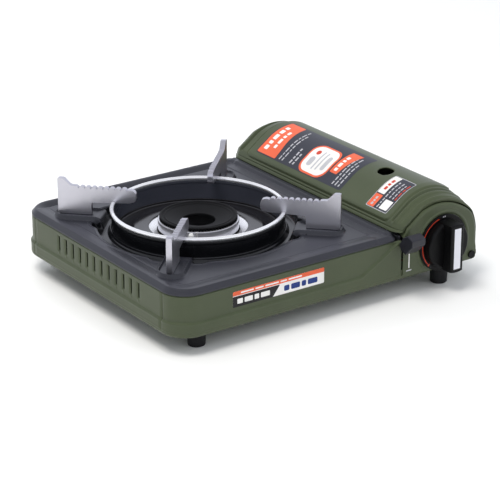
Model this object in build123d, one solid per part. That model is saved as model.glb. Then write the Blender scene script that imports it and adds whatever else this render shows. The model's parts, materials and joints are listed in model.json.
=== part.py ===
"""Portable butane cassette stove: casing, burner, gas train, pan support and canister lid.

Millimetres. The pieces are laid out from the casing's front left lower corner: x to the right,
y to the back, z up. On export everything moves so that the origin is the middle of the bounding
box's bottom, on the table.
"""
import math
import os

from build123d import *

# ---- casing ------------------------------------------------------------------------------------
COOK_W = 251.0
BAY_W = 96.5
CASING_D = 277.0
FOOT_H = 18.0
SHEET = 1.0
FLOOR_T = 1.2
LEFT_CORNER_R = 26.0
RIGHT_CORNER_R = 2.0
CORNER_MIN_R = 0.3
BOTTOM_EDGE_R = 3.5
HEM_T = 2.2
HEM_H = 4.6
FLANGE_T = 1.2
FLANGE_H = 5.4
SILL_CUT = 1.5
VENTS = 6
VENT_Y0 = 70.0
VENT_PITCH = 28.0
VENT_W = 5.0
BAY_VENT_LEN = 50.0
COOK_VENT_LEN = 20.0
COOK_VENT_IN = 52.0
WALL_TOP_Z = 40.4
RIDGE_Z = 12.7
RIDGE_H = 3.0
RIDGE_STEP = 1.75
PANEL_SEAM_Y = 26.0
PANEL_SEAM_GAP = 0.3
LOUVRES = 12
LOUVRE_PITCH = 12.76
LOUVRE_FIRST_Y = 66.5
LOUVRE_W = 2.2
LOUVRE_H = 14.5
LOUVRE_Z = 21.0

# ---- lid arch and its hinge --------------------------------------------------------------------
LID_OVERHANG = 0.5
ARCH_R = 47.0
ARCH_Z = 32.5
SLOPE_ANGLE = 126.0
SHOULDER_IN = 2.6
LID_LAP = 1.5
LID_EDGE_Z = 47.1
LID_LOW_Z = 10.5
LID_T = 1.0
LID_END_GAP = 2.5
LID_ROLL = 8.5
LID_ROLL_STEPS = 5
LID_TAPER = 25.0
LID_CORNER = 10.0
ARC_TURNS = (1.0, 0.6, 0.2, 0.1, 0.0)
UPPER_SHARE = 0.9
KNEE_SHARE = 0.2
LID_UNDERCUT = 2.0
PEEP_OFFSET = 7.5
PEEP_Y = 75.0
PEEP_LEN = 18.0
PEEP_W = 15.0
HINGE_R = 6.5
HINGE_PIN_R = 2.0
HINGE_HEAD_R = 3.8
HINGE_HEAD_T = 1.6
HINGE_FIT = 0.05
HINGE_RELIEF = 9.5
EAR_R = 5.0
EAR_W = 8.0
EAR_TOP_Z = 38.0
PANEL_CLEAR = 0.5
PANEL_FLANGE_D = 8.0
PANEL_FLANGE_Z = 42.0
PANEL_FOOT_Z = 24.0

# ---- top plate ---------------------------------------------------------------------------------
PLATE_X0 = 1.5
PLATE_MARGIN = 1.5
PLATE_T = 1.6
PLATE_GAP = 0.4
PLATE_RIM_H = 4.1
PLATE_RIM_RUN = 4.5
PLATE_LEFT_R = 25.0
PLATE_RIGHT_R = 8.0
PLATE_BORDER = 13.0
BORDER_IN = 18.0
BORDER_OUT = 6.0
BORDER_DROP = 1.0
DISH_DROP = 8.5
DISH_R = 99.0
DISH_SLOPE = 5.0
RIB_W = 7.5
RIB_EDGE = 1.5
RIB_H = 0.8
RIB_END = 12.0
RIB_EDGE_R = 1.2
CHANNEL_GAP = 1.0
CHANNEL_W = 11.0
CHANNEL_DROP = 0.8
CHANNEL_END = 20.0
PAD_IN_R = 101.0
PAD_OUT_R = 141.0
PAD_W = 24.0
PAD_DROP = 0.3
PAD_FLARE = 6.0
PAD_SINK = 1.0
RIB_SINK = 0.5
BODY_DEPTH = 12.0
COLLAR_H = 5.6
COLLAR_T = 1.0

# ---- burner opening ----------------------------------------------------------------------------
BURNER_X = 116.4
BURNER_Y = 138.5
SHIELD_R = 83.0
SHIELD_TOP_Z = 58.7
SHIELD_HEM_H = 1.6
SHIELD_HEM_T = 0.4
SHIELD_FLANGE_R = 92.0
SHIELD_LIP_R = 74.0
SHIELD_CLEAR = 0.6
PAN_T = 0.8
PAN_TROUGH_R = 66.0
PAN_DISC_R = 61.7
PAN_HOLE_R = 50.0
PAN_DISC_Z = 43.5
PAN_RIM_H = 3.5

# ---- pan support -------------------------------------------------------------------------------
RING_R = 82.5
RING_WIRE_R = 2.0
RING_SEAT = 0.3
ARM_T = 5.5
ARM_TIP_R = 60.0
ARM_TEETH_IN_R = 69.0
ARM_TEETH_OUT_R = 116.0
ARM_TEETH = 8
ARM_STEP_R = 104.0
ARM_OUT_R = 137.0
ARM_LUG_IN_R = 124.0
ARM_LUG_FLAT = 6.0
ARM_TOP_Z = 83.5
ARM_TOOTH_Z = 76.3
ARM_TOOTH_H = 3.3
ARM_TOOTH_RISE = 0.35
ARM_TOOTH_FALL = 0.8
ARM_TIP_EDGE = 2.0
ARM_TIP_H = 4.0
ARM_CORNER = 1.0
ARM_TIP_Z = 65.0
ARM_LOW_Z = 60.0
ARM_NOTCH_CLEAR = 0.15
ARM_FOOT_CLEAR = 0.1

# ---- burner ------------------------------------------------------------------------------------
CAP_R = 37.5
CAP_TOP_Z = 54.4
CAP_BOTTOM_Z = 50.7
CAP_HOLE_R = 15.5
CAP_DISH = 5.4
CAP_T = 2.0
CAP_RIM_W = 2.0
CAP_RIM_DROP = 1.0
CAP_SEAT_W = 4.0
CAP_PORTS = 36
CAP_PORT_W = 2.2
CAP_PORT_H = 2.2
SKIRT_R = 39.0
SKIRT_T = 1.2
SKIRT_Z = 44.3
BOWL_BASE_Z = 22.0
BOWL_BASE_R = 20.0
BOWL_T = 2.4
BOWL_WAIST = 8.0
BOWL_NECK = 16.0
BOWL_STEP = 2.0
CONE_IN_R = 40.5
CONE_DROP = 3.9
CONE_FLANGE = 3.5
VENTURI_R = 8.0
VENTURI_BORE_R = 6.0
VENTURI_Z = 26.0
VENTURI_START = 26.0
NOZZLE_WALL_GAP = 15.1
MOUTH_R = 11.0
MOUTH_LEN = 8.0
MOUTH_T = 2.0
BRACKET_W = 12.0
BRACKET_SPAN = 76.0
BRACKET_FOOT = 14.0
IGNITER_AZ = 234.0
IGNITER_R = 44.0
CERAMIC_R = 2.5
CERAMIC_BOTTOM_Z = 30.0
CERAMIC_TOP_Z = 50.0
PIN_R = 0.75
PIN_TIP = 3.0
LUG_Z = 32.0
LUG_T = 3.0
LUG_W = 7.5
LUG_END = 4.0
SLEEVE_T = 0.5

# ---- gas train ---------------------------------------------------------------------------------
DIAL_OFFSET = 3.4
DIAL_Z = 27.5
CANISTER_R = 34.5
CANISTER_CLEAR = 1.5
CRADLE_T = 0.8
CRADLE_Y0 = 60.0
CRADLE_Y1 = 250.0
CRADLE_HALF_ANGLE = 62.0
VALVE_W = 30.0
VALVE_Y0 = 8.0
VALVE_Y1 = 34.0
VALVE_Z0 = 17.0
VALVE_Z1 = 48.0
VALVE_EDGE_R = 4.0
STAND_IN = 2.0
STAND_SHELF = 12.0
STAND_FOOT = 8.0
SOCKET_R = 13.0
SOCKET_LEN = 2.0
SOCKET_BORE_R = 5.0
SOCKET_DEPTH = 10.0
STEM_R = 3.0
STEM_FIT = 0.05
STEM_IN = 12.0
STEM_END_GAP = 0.5
GOVERNOR_R = 18.0
GOVERNOR_T = 15.0
GOVERNOR_EDGE_R = 2.0
GOVERNOR_DROP = 4.0
GOVERNOR_NECK_R = 8.0
GOVERNOR_NECK = 8.0
PIPE_R = 2.5
PIPE_BORE_R = 1.5
PIPE_BEND_R = 7.0
PIPE_STUB = 4.9
NOZZLE_R = 5.0
NOZZLE_LEN = 14.0
NOZZLE_INSERT = 2.0
NOZZLE_BORE_R = 0.4
PIEZO_R = 5.5
PIEZO_LEN = 30.0
PIEZO_TIP_LEN = 4.0
PIEZO_TIP_R = 3.5
PIEZO_Z = 22.0
PIEZO_GAP = 0.2
LEAD_R = 1.1
LEAD_SEAT = 0.3

# ---- controls ----------------------------------------------------------------------------------
BEZEL_R = 28.5
BEZEL_T = 2.0
BEZEL_CHAMFER = 0.8
KNOB_R = 24.0
KNOB_SKIRT = 8.0
KNOB_FRONT = 22.0
KNOB_CLEAR = 0.5
KNOB_EDGE_R = 2.5
GRIP_EDGE_R = 1.5
GRIP_W = 15.0
GRIP_H = 49.0
INSERT_W = 8.0
INSERT_H = 41.0
INSERT_T = 1.0
SLOT_IN = 3.0
SLOT_W = 2.2
LEVER_CLEAR = 0.3
LEVER_LAP = 1.0
LEVER_W = 16.0
LEVER_TOP_Z = 50.0
LEVER_H = 20.0
LEVER_OUT = 20.5
LEVER_NOSE_DROP = 3.2
LEVER_NOSE_H = 6.3
LEVER_CREST_OUT = 13.0
LEVER_HEEL_OUT = 10.0
LEVER_SHOULDER_OUT = 6.2
LEVER_SHOULDER_DROP = 3.9
LEVER_BACK_OUT = 0.6
LEVER_BACK_DROP = 12.4
LEVER_LOW_OUT = 3.6
LEVER_LOW_DROP = 17.5
LEVER_NECK_LAP = 3.0
LEVER_TRAVEL = 16.0
LEVER_NECK_Z0 = 29.5
LEVER_NECK_Z1 = 39.5
LEVER_TAIL_Y0 = 4.0
LEVER_TAIL_Y1 = 14.0
LEVER_TAIL_MARGIN = 4.0
GUIDE_W = 6.0
CLAMP_TRAVEL = 8.0
CLAMP_T = 2.0
CLAMP_W = 36.0
CLAMP_GAP = 0.5
CLAMP_FORK_R = 14.0
CLAMP_TOP_Z = 52.0
CLAMP_FOOT = 12.0
CLAMP_SEAT = 0.3

# ---- feet and screws ---------------------------------------------------------------------------
FOOT_R = 9.0
FOOT_TAPER = 0.8
FOOT_EDGE_R = 1.5
FOOT_LEFT_X = 36.0
FOOT_RIGHT_SIDE = 37.5
FOOT_LEFT_IN = 23.5
FOOT_RIGHT_IN = 10.8
SCREW_R = 1.5
SCREW_HEAD_R = 3.2
SCREW_HEAD_T = 1.6
SCREW_LEN = 5.0
SCREW_FIT = 0.1
REAR_SCREWS_COOK = (60.0, 230.0)
REAR_SCREWS_BAY = (19.0, 71.0)
PARTITION_T = 1.0
PARTITION_IN = 1.0
PARTITION_FLANGE = 9.0
PARTITION_END = 3.0
PIPE_HOLE_CLEAR = 1.5

# ---- derived heights and places ----------------------------------------------------------------
CUT = 1.0
BASE_Z = 0.0
FLOOR_Z = BASE_Z + FLOOR_T
SEAM_Z = BASE_Z + HEM_H
FLANGE_Z = SEAM_Z + FLANGE_H
CASING_W = COOK_W + BAY_W
LID_OUT_X = CASING_W + LID_OVERHANG
SHOULDER_X = COOK_W + SHOULDER_IN
LID_EDGE_X = COOK_W - LID_LAP
HINGE_X = CASING_W - HINGE_R
HINGE_Z = BASE_Z + HINGE_R
ARCH_X = LID_OUT_X - ARCH_R
PEEP_X = ARCH_X - PEEP_OFFSET
CANISTER_X = ARCH_X
DIAL_X = ARCH_X + DIAL_OFFSET
PLATE_X1 = COOK_W
PARTITION_X = COOK_W + PARTITION_IN
SLOT_X0 = COOK_W + SLOT_IN
LEVER_X0 = COOK_W - LEVER_LAP
LEVER_X1 = LEVER_X0 + LEVER_W
FOOT_RIGHT_X = CASING_W - FOOT_RIGHT_SIDE
PLATE_SKIRT_Z = WALL_TOP_Z + PLATE_GAP + PLATE_T
PLATE_Z = PLATE_SKIRT_Z + PLATE_RIM_H
FIELD_Z = PLATE_Z - BORDER_DROP
DECK_Z = PLATE_Z - DISH_DROP
DECK_UNDER_Z = DECK_Z - PLATE_T
PAD_Z = PLATE_Z - PAD_DROP
RING_Z = SHIELD_TOP_Z + RING_SEAT + RING_WIRE_R
SLOT_X1 = SLOT_X0 + SLOT_W
VALVE_X0 = DIAL_X - VALVE_W / 2
VALVE_X1 = DIAL_X + VALVE_W / 2
GOVERNOR_X0 = VALVE_X0 - GOVERNOR_NECK - GOVERNOR_T
PIPE_Y = (VALVE_Y0 + VALVE_Y1) / 2
PIPE_Z = VENTURI_Z
VENTURI_AZ = math.degrees(math.atan2(PIPE_Y - BURNER_Y, GOVERNOR_X0 - PIPE_STUB - BURNER_X))
NOZZLE_END = (PARTITION_X - NOZZLE_WALL_GAP - BURNER_X) / math.cos(math.radians(VENTURI_AZ))
VENTURI_END = NOZZLE_END - NOZZLE_LEN + NOZZLE_INSERT
CRADLE_R = CANISTER_R + CANISTER_CLEAR
CANISTER_Z = FLOOR_Z + CRADLE_T + CRADLE_R
CLAMP_Y = VALVE_Y1 + SOCKET_LEN + CLAMP_TRAVEL + CLAMP_GAP
KNOB_BACK = BEZEL_T + KNOB_CLEAR
PIEZO_X = VALVE_X1 + PIEZO_GAP + PIEZO_R


def block(x0, x1, y0, y1, z0, z1):
    """Box between two corners."""
    return Pos((x0 + x1) / 2, (y0 + y1) / 2, (z0 + z1) / 2) * Box(x1 - x0, y1 - y0, z1 - z0)


def rod_z(x, y, z0, z1, radius):
    """Upright cylinder."""
    return Pos(x, y, (z0 + z1) / 2) * Cylinder(radius, z1 - z0)


def rod_y(x, z, y0, y1, radius):
    """Cylinder along the depth."""
    return Pos(x, (y0 + y1) / 2, z) * Rot(90, 0, 0) * Cylinder(radius, y1 - y0)


def rod_x(y, z, x0, x1, radius):
    """Cylinder along the width."""
    return Pos((x0 + x1) / 2, y, z) * Rot(0, 90, 0) * Cylinder(radius, x1 - x0)


def turned(points):
    """Solid of revolution about the burner axis from (radius, height) points."""
    face = make_face(Polyline(*[(r, 0, z) for r, z in points], close=True))
    return Pos(BURNER_X, BURNER_Y, 0) * revolve(face, Axis.Z)


def depth_prism(face, y0, y1):
    """Prism of an XZ face from y0 to y1."""
    return extrude(Pos(0, y0, 0) * face, y1 - y0, dir=(0, 1, 0))


def polar(radius, azimuth, x=BURNER_X, y=BURNER_Y):
    """Point at a radius and azimuth from the burner axis."""
    angle = math.radians(azimuth)
    return x + radius * math.cos(angle), y + radius * math.sin(angle)


def rounded_plan(x0, x1, y0, y1, left_r, right_r):
    """Plan rectangle with its own corner radii at the left and the right."""
    plan = Pos((x0 + x1) / 2, (y0 + y1) / 2) * Rectangle(x1 - x0, y1 - y0)
    plan = fillet(plan.vertices().group_by(Axis.X)[0], left_r)
    return fillet(plan.vertices().group_by(Axis.X)[-1], right_r)


def casing_plan(inset):
    """Casing footprint moved in by inset."""
    return rounded_plan(inset, CASING_W - inset, inset, CASING_D - inset,
                        LEFT_CORNER_R - inset, max(RIGHT_CORNER_R - inset, CORNER_MIN_R))


def casing_prism(inset, z0, z1):
    """Upright prism on the casing footprint."""
    return extrude(Pos(0, 0, z0) * casing_plan(inset), z1 - z0)


# ---- casing pieces -----------------------------------------------------------------------------
def right_edge_cut():
    """What lies outside the rounded lower right edge that the lid swings about."""
    corner = block(HINGE_X, CASING_W + HINGE_R, -CUT, CASING_D + CUT, BASE_Z - CUT, HINGE_Z)
    return corner - rod_y(HINGE_X, HINGE_Z, -2 * CUT, CASING_D + 2 * CUT, HINGE_R)


def right_edge_arc():
    """Rounded lower right edge of the floor, as thick as the flange."""
    y0, y1 = HEM_T, CASING_D - HEM_T
    tube = rod_y(HINGE_X, HINGE_Z, y0, y1, HINGE_R) - rod_y(HINGE_X, HINGE_Z, y0, y1, HINGE_R - FLANGE_T)
    return tube & block(HINGE_X, CASING_W, y0, y1, BASE_Z, HINGE_Z)


def base_pan():
    """Floor tray with its hem, the inner flange that holds the panels, and vent slots."""
    pan = casing_prism(0, BASE_Z, SEAM_Z)
    pan = fillet(pan.edges().group_by(Axis.Z)[0], BOTTOM_EDGE_R)
    pan += casing_prism(SHEET, SEAM_Z, FLANGE_Z)
    pan += block(CASING_W - FLANGE_T, CASING_W, HEM_T, CASING_D - HEM_T, SEAM_Z, FLANGE_Z)
    pan -= casing_prism(HEM_T, FLOOR_Z, FLANGE_Z + CUT)
    pan += right_edge_arc()
    pan -= right_edge_cut()
    sill = block(HINGE_X, CASING_W + CUT, HEM_T, CASING_D - HEM_T, FLANGE_Z - SILL_CUT, FLANGE_Z + CUT)
    pan -= sill
    relief = LID_END_GAP + HINGE_RELIEF
    for y0, y1 in ((HEM_T, relief), (CASING_D - relief, CASING_D - HEM_T)):
        pan -= block(HINGE_X - CUT, CASING_W + CUT, y0, y1, BASE_Z - CUT, FLANGE_Z + CUT)
    for y in (LID_END_GAP, CASING_D - LID_END_GAP):
        pan -= rod_y(HINGE_X, HINGE_Z, y - HEM_T - CUT, y + HEM_T + CUT, HINGE_PIN_R)
    for x, y in foot_places():
        pan -= rod_z(x, y, BASE_Z - CUT, FLOOR_Z + CUT, SCREW_R + SCREW_FIT)
    vents = [(CANISTER_X - BAY_VENT_LEN / 2, CANISTER_X + BAY_VENT_LEN / 2),
             (BURNER_X - COOK_VENT_IN - COOK_VENT_LEN, BURNER_X - COOK_VENT_IN)]
    for index in range(VENTS):
        y = VENT_Y0 + index * VENT_PITCH
        for x0, x1 in vents:
            pan -= block(x0, x1, y, y + VENT_W, BASE_Z - CUT, FLOOR_Z + CUT)
    return pan


def wall_prism(inset):
    """Closed solid under the walls: broad below the ridge, drawn in above it."""
    low = casing_prism(inset, SEAM_Z, RIDGE_Z)
    ridge_top = RIDGE_Z + RIDGE_H
    step = loft([Pos(0, 0, RIDGE_Z) * casing_plan(inset),
                 Pos(0, 0, ridge_top) * casing_plan(inset + RIDGE_STEP)], ruled=True)
    return low + step + casing_prism(inset + RIDGE_STEP, ridge_top, WALL_TOP_Z)


def wall_panel(walls, x0, x1, y0, y1):
    """Stretch of the walls inside a plan rectangle."""
    return walls & block(x0, x1, y0, y1, SEAM_Z - CUT, WALL_TOP_Z + CUT)


def louvre_places():
    """Middle of each louvre along the side panel."""
    return [LOUVRE_FIRST_Y + index * LOUVRE_PITCH for index in range(LOUVRES)]


def side_panel(walls):
    """Left wall with its row of upright louvres."""
    panel = wall_panel(walls, -CUT, LEFT_CORNER_R, PANEL_SEAM_Y, CASING_D - PANEL_SEAM_Y)
    for y in louvre_places():
        panel -= block(-CUT, LEFT_CORNER_R, y - LOUVRE_W / 2, y + LOUVRE_W / 2,
                       LOUVRE_Z, LOUVRE_Z + LOUVRE_H)
    return panel


# ---- arch outline shared by the lid and the end panels -----------------------------------------
def meet(point_a, slope_a, point_b, slope_b):
    """Where two lines in the XZ plane cross."""
    cross = slope_a[0] * slope_b[1] - slope_a[1] * slope_b[0]
    dx, dz = point_b[0] - point_a[0], point_b[1] - point_a[1]
    along = (dx * slope_b[1] - dz * slope_b[0]) / cross
    return point_a[0] + along * slope_a[0], point_a[1] + along * slope_a[1]


def arch_points(inset, roll=0.0, left_roll=0.0):
    """Corners and arc middles of the arch outline, from the left flange's foot to the right wall.

    inset moves the whole outline in. roll moves in its top, and fades out to the right. left_roll
    moves in the slope and the flange at its left.
    """
    deep = inset + left_roll
    angle = math.radians(SLOPE_ANGLE)
    slope = (-math.sin(angle), math.cos(angle))
    outer = (ARCH_X + ARCH_R * math.cos(angle), ARCH_Z + ARCH_R * math.sin(angle))
    top = meet(outer, slope, (SHOULDER_X, 0), (0, 1))
    fall = (top[0] - LID_EDGE_X, top[1] - LID_EDGE_Z)
    length = math.hypot(*fall)
    edge = (top[0] + deep * fall[1] / length, top[1] - deep * fall[0] / length)
    arc = []
    drops = (left_roll, UPPER_SHARE * roll, KNEE_SHARE * roll, KNEE_SHARE * roll / 2, 0)
    for drop, turn in zip(drops, ARC_TURNS):
        radius = ARCH_R - inset - drop
        arc.append((ARCH_X + radius * math.cos(angle * turn), ARCH_Z + radius * math.sin(angle * turn)))
    shoulder = meet(arc[0], slope, edge, fall)
    foot = meet(edge, fall, (0, LID_EDGE_Z - LID_UNDERCUT), (1, 0))
    return [foot, shoulder] + arc


def arch_face(inset, roll=0.0, left_roll=0.0):
    """Closed arch outline in the XZ plane, down to below the lid's edges."""
    points = [(x, 0, z) for x, z in arch_points(inset, roll, left_roll)]
    foot, shoulder, tangent, upper, knee, lower, spring = points
    low = LID_LOW_Z - LID_UNDERCUT
    left = Polyline((foot[0], 0, low), foot, shoulder, tangent)
    top = ThreePointArc(tangent, upper, knee)
    side = ThreePointArc(knee, lower, spring)
    right = Polyline(spring, (spring[0], 0, low), (foot[0], 0, low))
    return make_face([left, top, side, right])


def rolled_arch(inset):
    """Arch prism whose ends draw in smoothly, moved in by inset."""
    y0, y1 = LID_END_GAP + inset, CASING_D - LID_END_GAP - inset
    steps = []
    for index in range(LID_ROLL_STEPS + 1):
        along = LID_TAPER * (index / LID_ROLL_STEPS) ** 2
        top = LID_ROLL * (1 - along / LID_TAPER) ** 1.5
        left = LID_ROLL * max(0, 1 - along / LID_CORNER) ** 1.5
        steps.append((along, top, left))
    sections = [(y0 + along, top, left) for along, top, left in steps]
    sections += [(y1 - along, top, left) for along, top, left in reversed(steps)]
    faces = [Pos(0, y, 0) * arch_face(inset, top, left) for y, top, left in sections]
    return loft(faces, ruled=True)


def lid_opening(y0, y1):
    """Mouth through one rolled end, inside the rim."""
    return depth_prism(arch_face(LID_T, LID_ROLL, LID_ROLL), y0, y1)


def hinge_ear(y0, y1):
    """Plate from the lid's end rim down to the hinge pin."""
    right = LID_OUT_X - LID_T
    ear = block(right - EAR_W, right, y0, y1, LID_LOW_Z, EAR_TOP_Z)
    ear += block(right - EAR_W, HINGE_X + EAR_R, y0, y1, HINGE_Z, LID_LOW_Z)
    ear += rod_y(HINGE_X, HINGE_Z, y0, y1, EAR_R)
    return ear - rod_y(HINGE_X, HINGE_Z, y0 - CUT, y1 + CUT, HINGE_PIN_R + HINGE_FIT)


def canister_lid():
    """Arched sheet lid with rolled ends, hinge ears and an oval peep hole."""
    lid = rolled_arch(0) - rolled_arch(LID_T)
    lid -= block(0, ARCH_X, -CUT, CASING_D + CUT, 0, LID_EDGE_Z)
    lid -= block(ARCH_X, CASING_W + ARCH_R, -CUT, CASING_D + CUT, 0, LID_LOW_Z)
    front, back = LID_END_GAP, CASING_D - LID_END_GAP
    lid -= lid_opening(front - CUT, front + LID_T + PANEL_CLEAR)
    lid -= lid_opening(back - LID_T - PANEL_CLEAR, back + CUT)
    lid += hinge_ear(front, front + LID_T)
    lid += hinge_ear(back - LID_T, back)
    hole = Pos(PEEP_X, PEEP_Y, ARCH_Z) * SlotOverall(PEEP_LEN, PEEP_W, rotation=90)
    return lid - extrude(hole, ARCH_R + CUT)


def end_panel_face():
    """Outline of the control panel: under the lid's end rim, full width at its foot."""
    points = [(x, 0, z) for x, z in arch_points(LID_T + PANEL_CLEAR, LID_ROLL, LID_ROLL)]
    foot, shoulder, tangent, upper, knee, lower, spring = points
    angle = math.radians(SLOPE_ANGLE)
    slope_end = meet(tangent[::2], (-math.sin(angle), math.cos(angle)), (SLOT_X1, 0), (0, 1))
    left = Polyline((SLOT_X1, 0, SEAM_Z), (SLOT_X1, 0, slope_end[1]), tangent)
    top = ThreePointArc(tangent, upper, knee)
    side = ThreePointArc(knee, lower, spring)
    low_x = HINGE_X + math.sqrt(HINGE_R ** 2 - (HINGE_Z - SEAM_Z) ** 2)
    right = Polyline(spring, (spring[0], 0, PANEL_FOOT_Z), (CASING_W, 0, FLANGE_Z),
                     (CASING_W, 0, HINGE_Z), (low_x, 0, SEAM_Z), (SLOT_X1, 0, SEAM_Z))
    return make_face([left, top, side, right])


def end_flange(y0, y1):
    """Turned rim behind an end panel's arch, which stiffens it and guides the lid."""
    inset = LID_T + PANEL_CLEAR
    rim = depth_prism(arch_face(inset, LID_ROLL, LID_ROLL), y0, y1)
    rim -= depth_prism(arch_face(inset + SHEET, LID_ROLL, LID_ROLL), y0, y1)
    keep = block(SLOT_X1, ARCH_X + ARCH_R, y0, y1, PANEL_FLANGE_Z, ARCH_Z + ARCH_R)
    return rim & keep


def control_panel():
    """Front end panel with its flange and the holes for the valve stem and hinge pin."""
    panel = depth_prism(end_panel_face(), 0, SHEET)
    panel += end_flange(SHEET, SHEET + PANEL_FLANGE_D)
    panel -= rod_y(DIAL_X, DIAL_Z, -CUT, SHEET + CUT, STEM_R + KNOB_CLEAR)
    return panel - rod_y(HINGE_X, HINGE_Z, -CUT, SHEET + CUT, HINGE_PIN_R)


def rear_end_panel():
    """Back end panel behind the canister."""
    back = CASING_D
    panel = depth_prism(end_panel_face(), back - SHEET, back)
    panel += end_flange(back - SHEET - PANEL_FLANGE_D, back - SHEET)
    for x, z in rear_screw_places()[2:]:
        panel -= rod_y(x, z, back - SHEET - CUT, back + CUT, SCREW_R + SCREW_FIT)
    return panel - rod_y(HINGE_X, HINGE_Z, back - SHEET - CUT, back + CUT, HINGE_PIN_R)


def hinge_pin(outside, inward):
    """Headed pin from an end panel's face through the flange and the lid's ear."""
    shank_end = outside + inward * (LID_END_GAP + LID_T + 1)
    head_end = outside - inward * HINGE_HEAD_T
    pin = rod_y(HINGE_X, HINGE_Z, min(outside, shank_end), max(outside, shank_end), HINGE_PIN_R)
    return pin + rod_y(HINGE_X, HINGE_Z, min(outside, head_end), max(outside, head_end), HINGE_HEAD_R)


def partition():
    """Sheet wall between the burner and the canister, with the flange that carries the plate."""
    top = FIELD_Z - PLATE_T
    y0, y1 = PARTITION_END, CASING_D - PARTITION_END
    wall = block(PARTITION_X, PARTITION_X + PARTITION_T, y0, y1, FLOOR_Z, top)
    wall += block(PARTITION_X - PARTITION_FLANGE, PARTITION_X, y0 + PLATE_BORDER, y1 - PLATE_BORDER,
                  top - PARTITION_T, top)
    start, bend, _ = pipe_route()
    run = (PARTITION_X + PARTITION_T / 2 - start[0]) / (bend[0] - start[0])
    pipe_y = start[1] + run * (bend[1] - start[1])
    wall -= rod_x(pipe_y, PIPE_Z, PARTITION_X - 2 * CUT, PARTITION_X + PARTITION_T + 2 * CUT,
                  PIPE_R / math.cos(math.radians(VENTURI_AZ)) + PIPE_HOLE_CLEAR)
    lead_y = lead_crossing_y()
    return wall - rod_x(lead_y, lead_floor_z(), PARTITION_X - 2 * CUT, PARTITION_X + PARTITION_T + 2 * CUT,
                        LEAD_R + PIPE_HOLE_CLEAR)


# ---- top plate and burner opening --------------------------------------------------------------
def plate_plan(inset):
    """Plate footprint moved in by inset, except along the lid."""
    return rounded_plan(PLATE_X0 + inset, PLATE_X1, PLATE_MARGIN + inset,
                        CASING_D - PLATE_MARGIN - inset, PLATE_LEFT_R - inset, PLATE_RIGHT_R)


def plate_body():
    """Closed solid under the plate's upper surface: rim, border, dish, channel and four pads."""
    low = DECK_Z - BODY_DEPTH
    body = extrude(Pos(0, 0, low) * plate_plan(0), PLATE_SKIRT_Z - low)
    body += loft([Pos(0, 0, PLATE_SKIRT_Z) * plate_plan(0),
                  Pos(0, 0, PLATE_Z) * plate_plan(PLATE_RIM_RUN)], ruled=True)
    body -= loft([Pos(0, 0, FIELD_Z) * plate_plan(BORDER_IN),
                  Pos(0, 0, PLATE_Z) * plate_plan(BORDER_OUT)], ruled=True)
    dish_h = FIELD_Z - DECK_Z
    dish = Cone(DISH_R - DISH_SLOPE, DISH_R, dish_h)
    body -= Pos(BURNER_X, BURNER_Y, DECK_Z + dish_h / 2) * dish
    channel_x1 = PLATE_X1 - RIB_EDGE - RIB_W - CHANNEL_GAP
    body -= block(channel_x1 - CHANNEL_W, channel_x1, CHANNEL_END, CASING_D - CHANNEL_END,
                  FIELD_Z - CHANNEL_DROP, PLATE_Z + CUT)
    middle_r = (PAD_IN_R + PAD_OUT_R) / 2
    length = PAD_OUT_R - PAD_IN_R
    for azimuth in arm_azimuths():
        top = RectangleRounded(length, PAD_W, PAD_W / 3)
        foot = RectangleRounded(length + 2 * PAD_FLARE, PAD_W + 2 * PAD_FLARE, PAD_W / 3 + PAD_FLARE)
        pad = loft([Pos(0, 0, DECK_Z - PAD_SINK) * foot, Pos(0, 0, PAD_Z) * top], ruled=True)
        body += Pos(BURNER_X, BURNER_Y, 0) * Rot(0, 0, azimuth) * Pos(middle_r, 0, 0) * pad
    return body


def top_plate():
    """Enamelled sheet plate with a collar round the wind shield and a rib beside the lid."""
    body = plate_body()
    plate = body - Pos(0, 0, -PLATE_T) * body
    opening = SHIELD_R + SHIELD_CLEAR
    plate += rod_z(BURNER_X, BURNER_Y, DECK_UNDER_Z, DECK_Z + COLLAR_H, opening + COLLAR_T)
    plate -= rod_z(BURNER_X, BURNER_Y, DECK_UNDER_Z - BODY_DEPTH, DECK_Z + COLLAR_H + CUT, opening)
    rib_x0 = PLATE_X1 - RIB_EDGE - RIB_W
    rib = block(rib_x0, rib_x0 + RIB_W, RIB_END, CASING_D - RIB_END, FIELD_Z - RIB_SINK, PLATE_Z + RIB_H)
    rib = fillet(rib.edges().group_by(Axis.Z)[-1], RIB_EDGE_R)
    return plate + rib


def wind_shield():
    """Upright drum round the burner with a hemmed top and a flange under the plate."""
    inner = SHIELD_R - SHEET
    hem_z = SHIELD_TOP_Z - SHIELD_HEM_H
    flange_z = DECK_UNDER_Z - SHEET
    return turned([(SHIELD_LIP_R, flange_z), (SHIELD_FLANGE_R, flange_z),
                   (SHIELD_FLANGE_R, DECK_UNDER_Z), (SHIELD_R, DECK_UNDER_Z), (SHIELD_R, hem_z),
                   (SHIELD_R + SHIELD_HEM_T, hem_z), (SHIELD_R + SHIELD_HEM_T, SHIELD_TOP_Z),
                   (inner - SHIELD_HEM_T, SHIELD_TOP_Z), (inner - SHIELD_HEM_T, hem_z),
                   (inner, hem_z), (inner, DECK_UNDER_Z), (SHIELD_LIP_R, DECK_UNDER_Z)])


def drip_pan():
    """Pressed pan between the wind shield and the burner."""
    outer = SHIELD_R - SHEET - SHIELD_CLEAR
    low, high = DECK_UNDER_Z, PAN_DISC_Z
    return turned([(outer, low), (PAN_TROUGH_R, low), (PAN_DISC_R, high - PAN_T),
                   (PAN_HOLE_R, high - PAN_T), (PAN_HOLE_R, high), (PAN_DISC_R + PAN_T, high),
                   (PAN_TROUGH_R + PAN_T, low + PAN_T), (outer - PAN_T, low + PAN_T),
                   (outer - PAN_T, low + PAN_RIM_H), (outer, low + PAN_RIM_H)])


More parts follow.
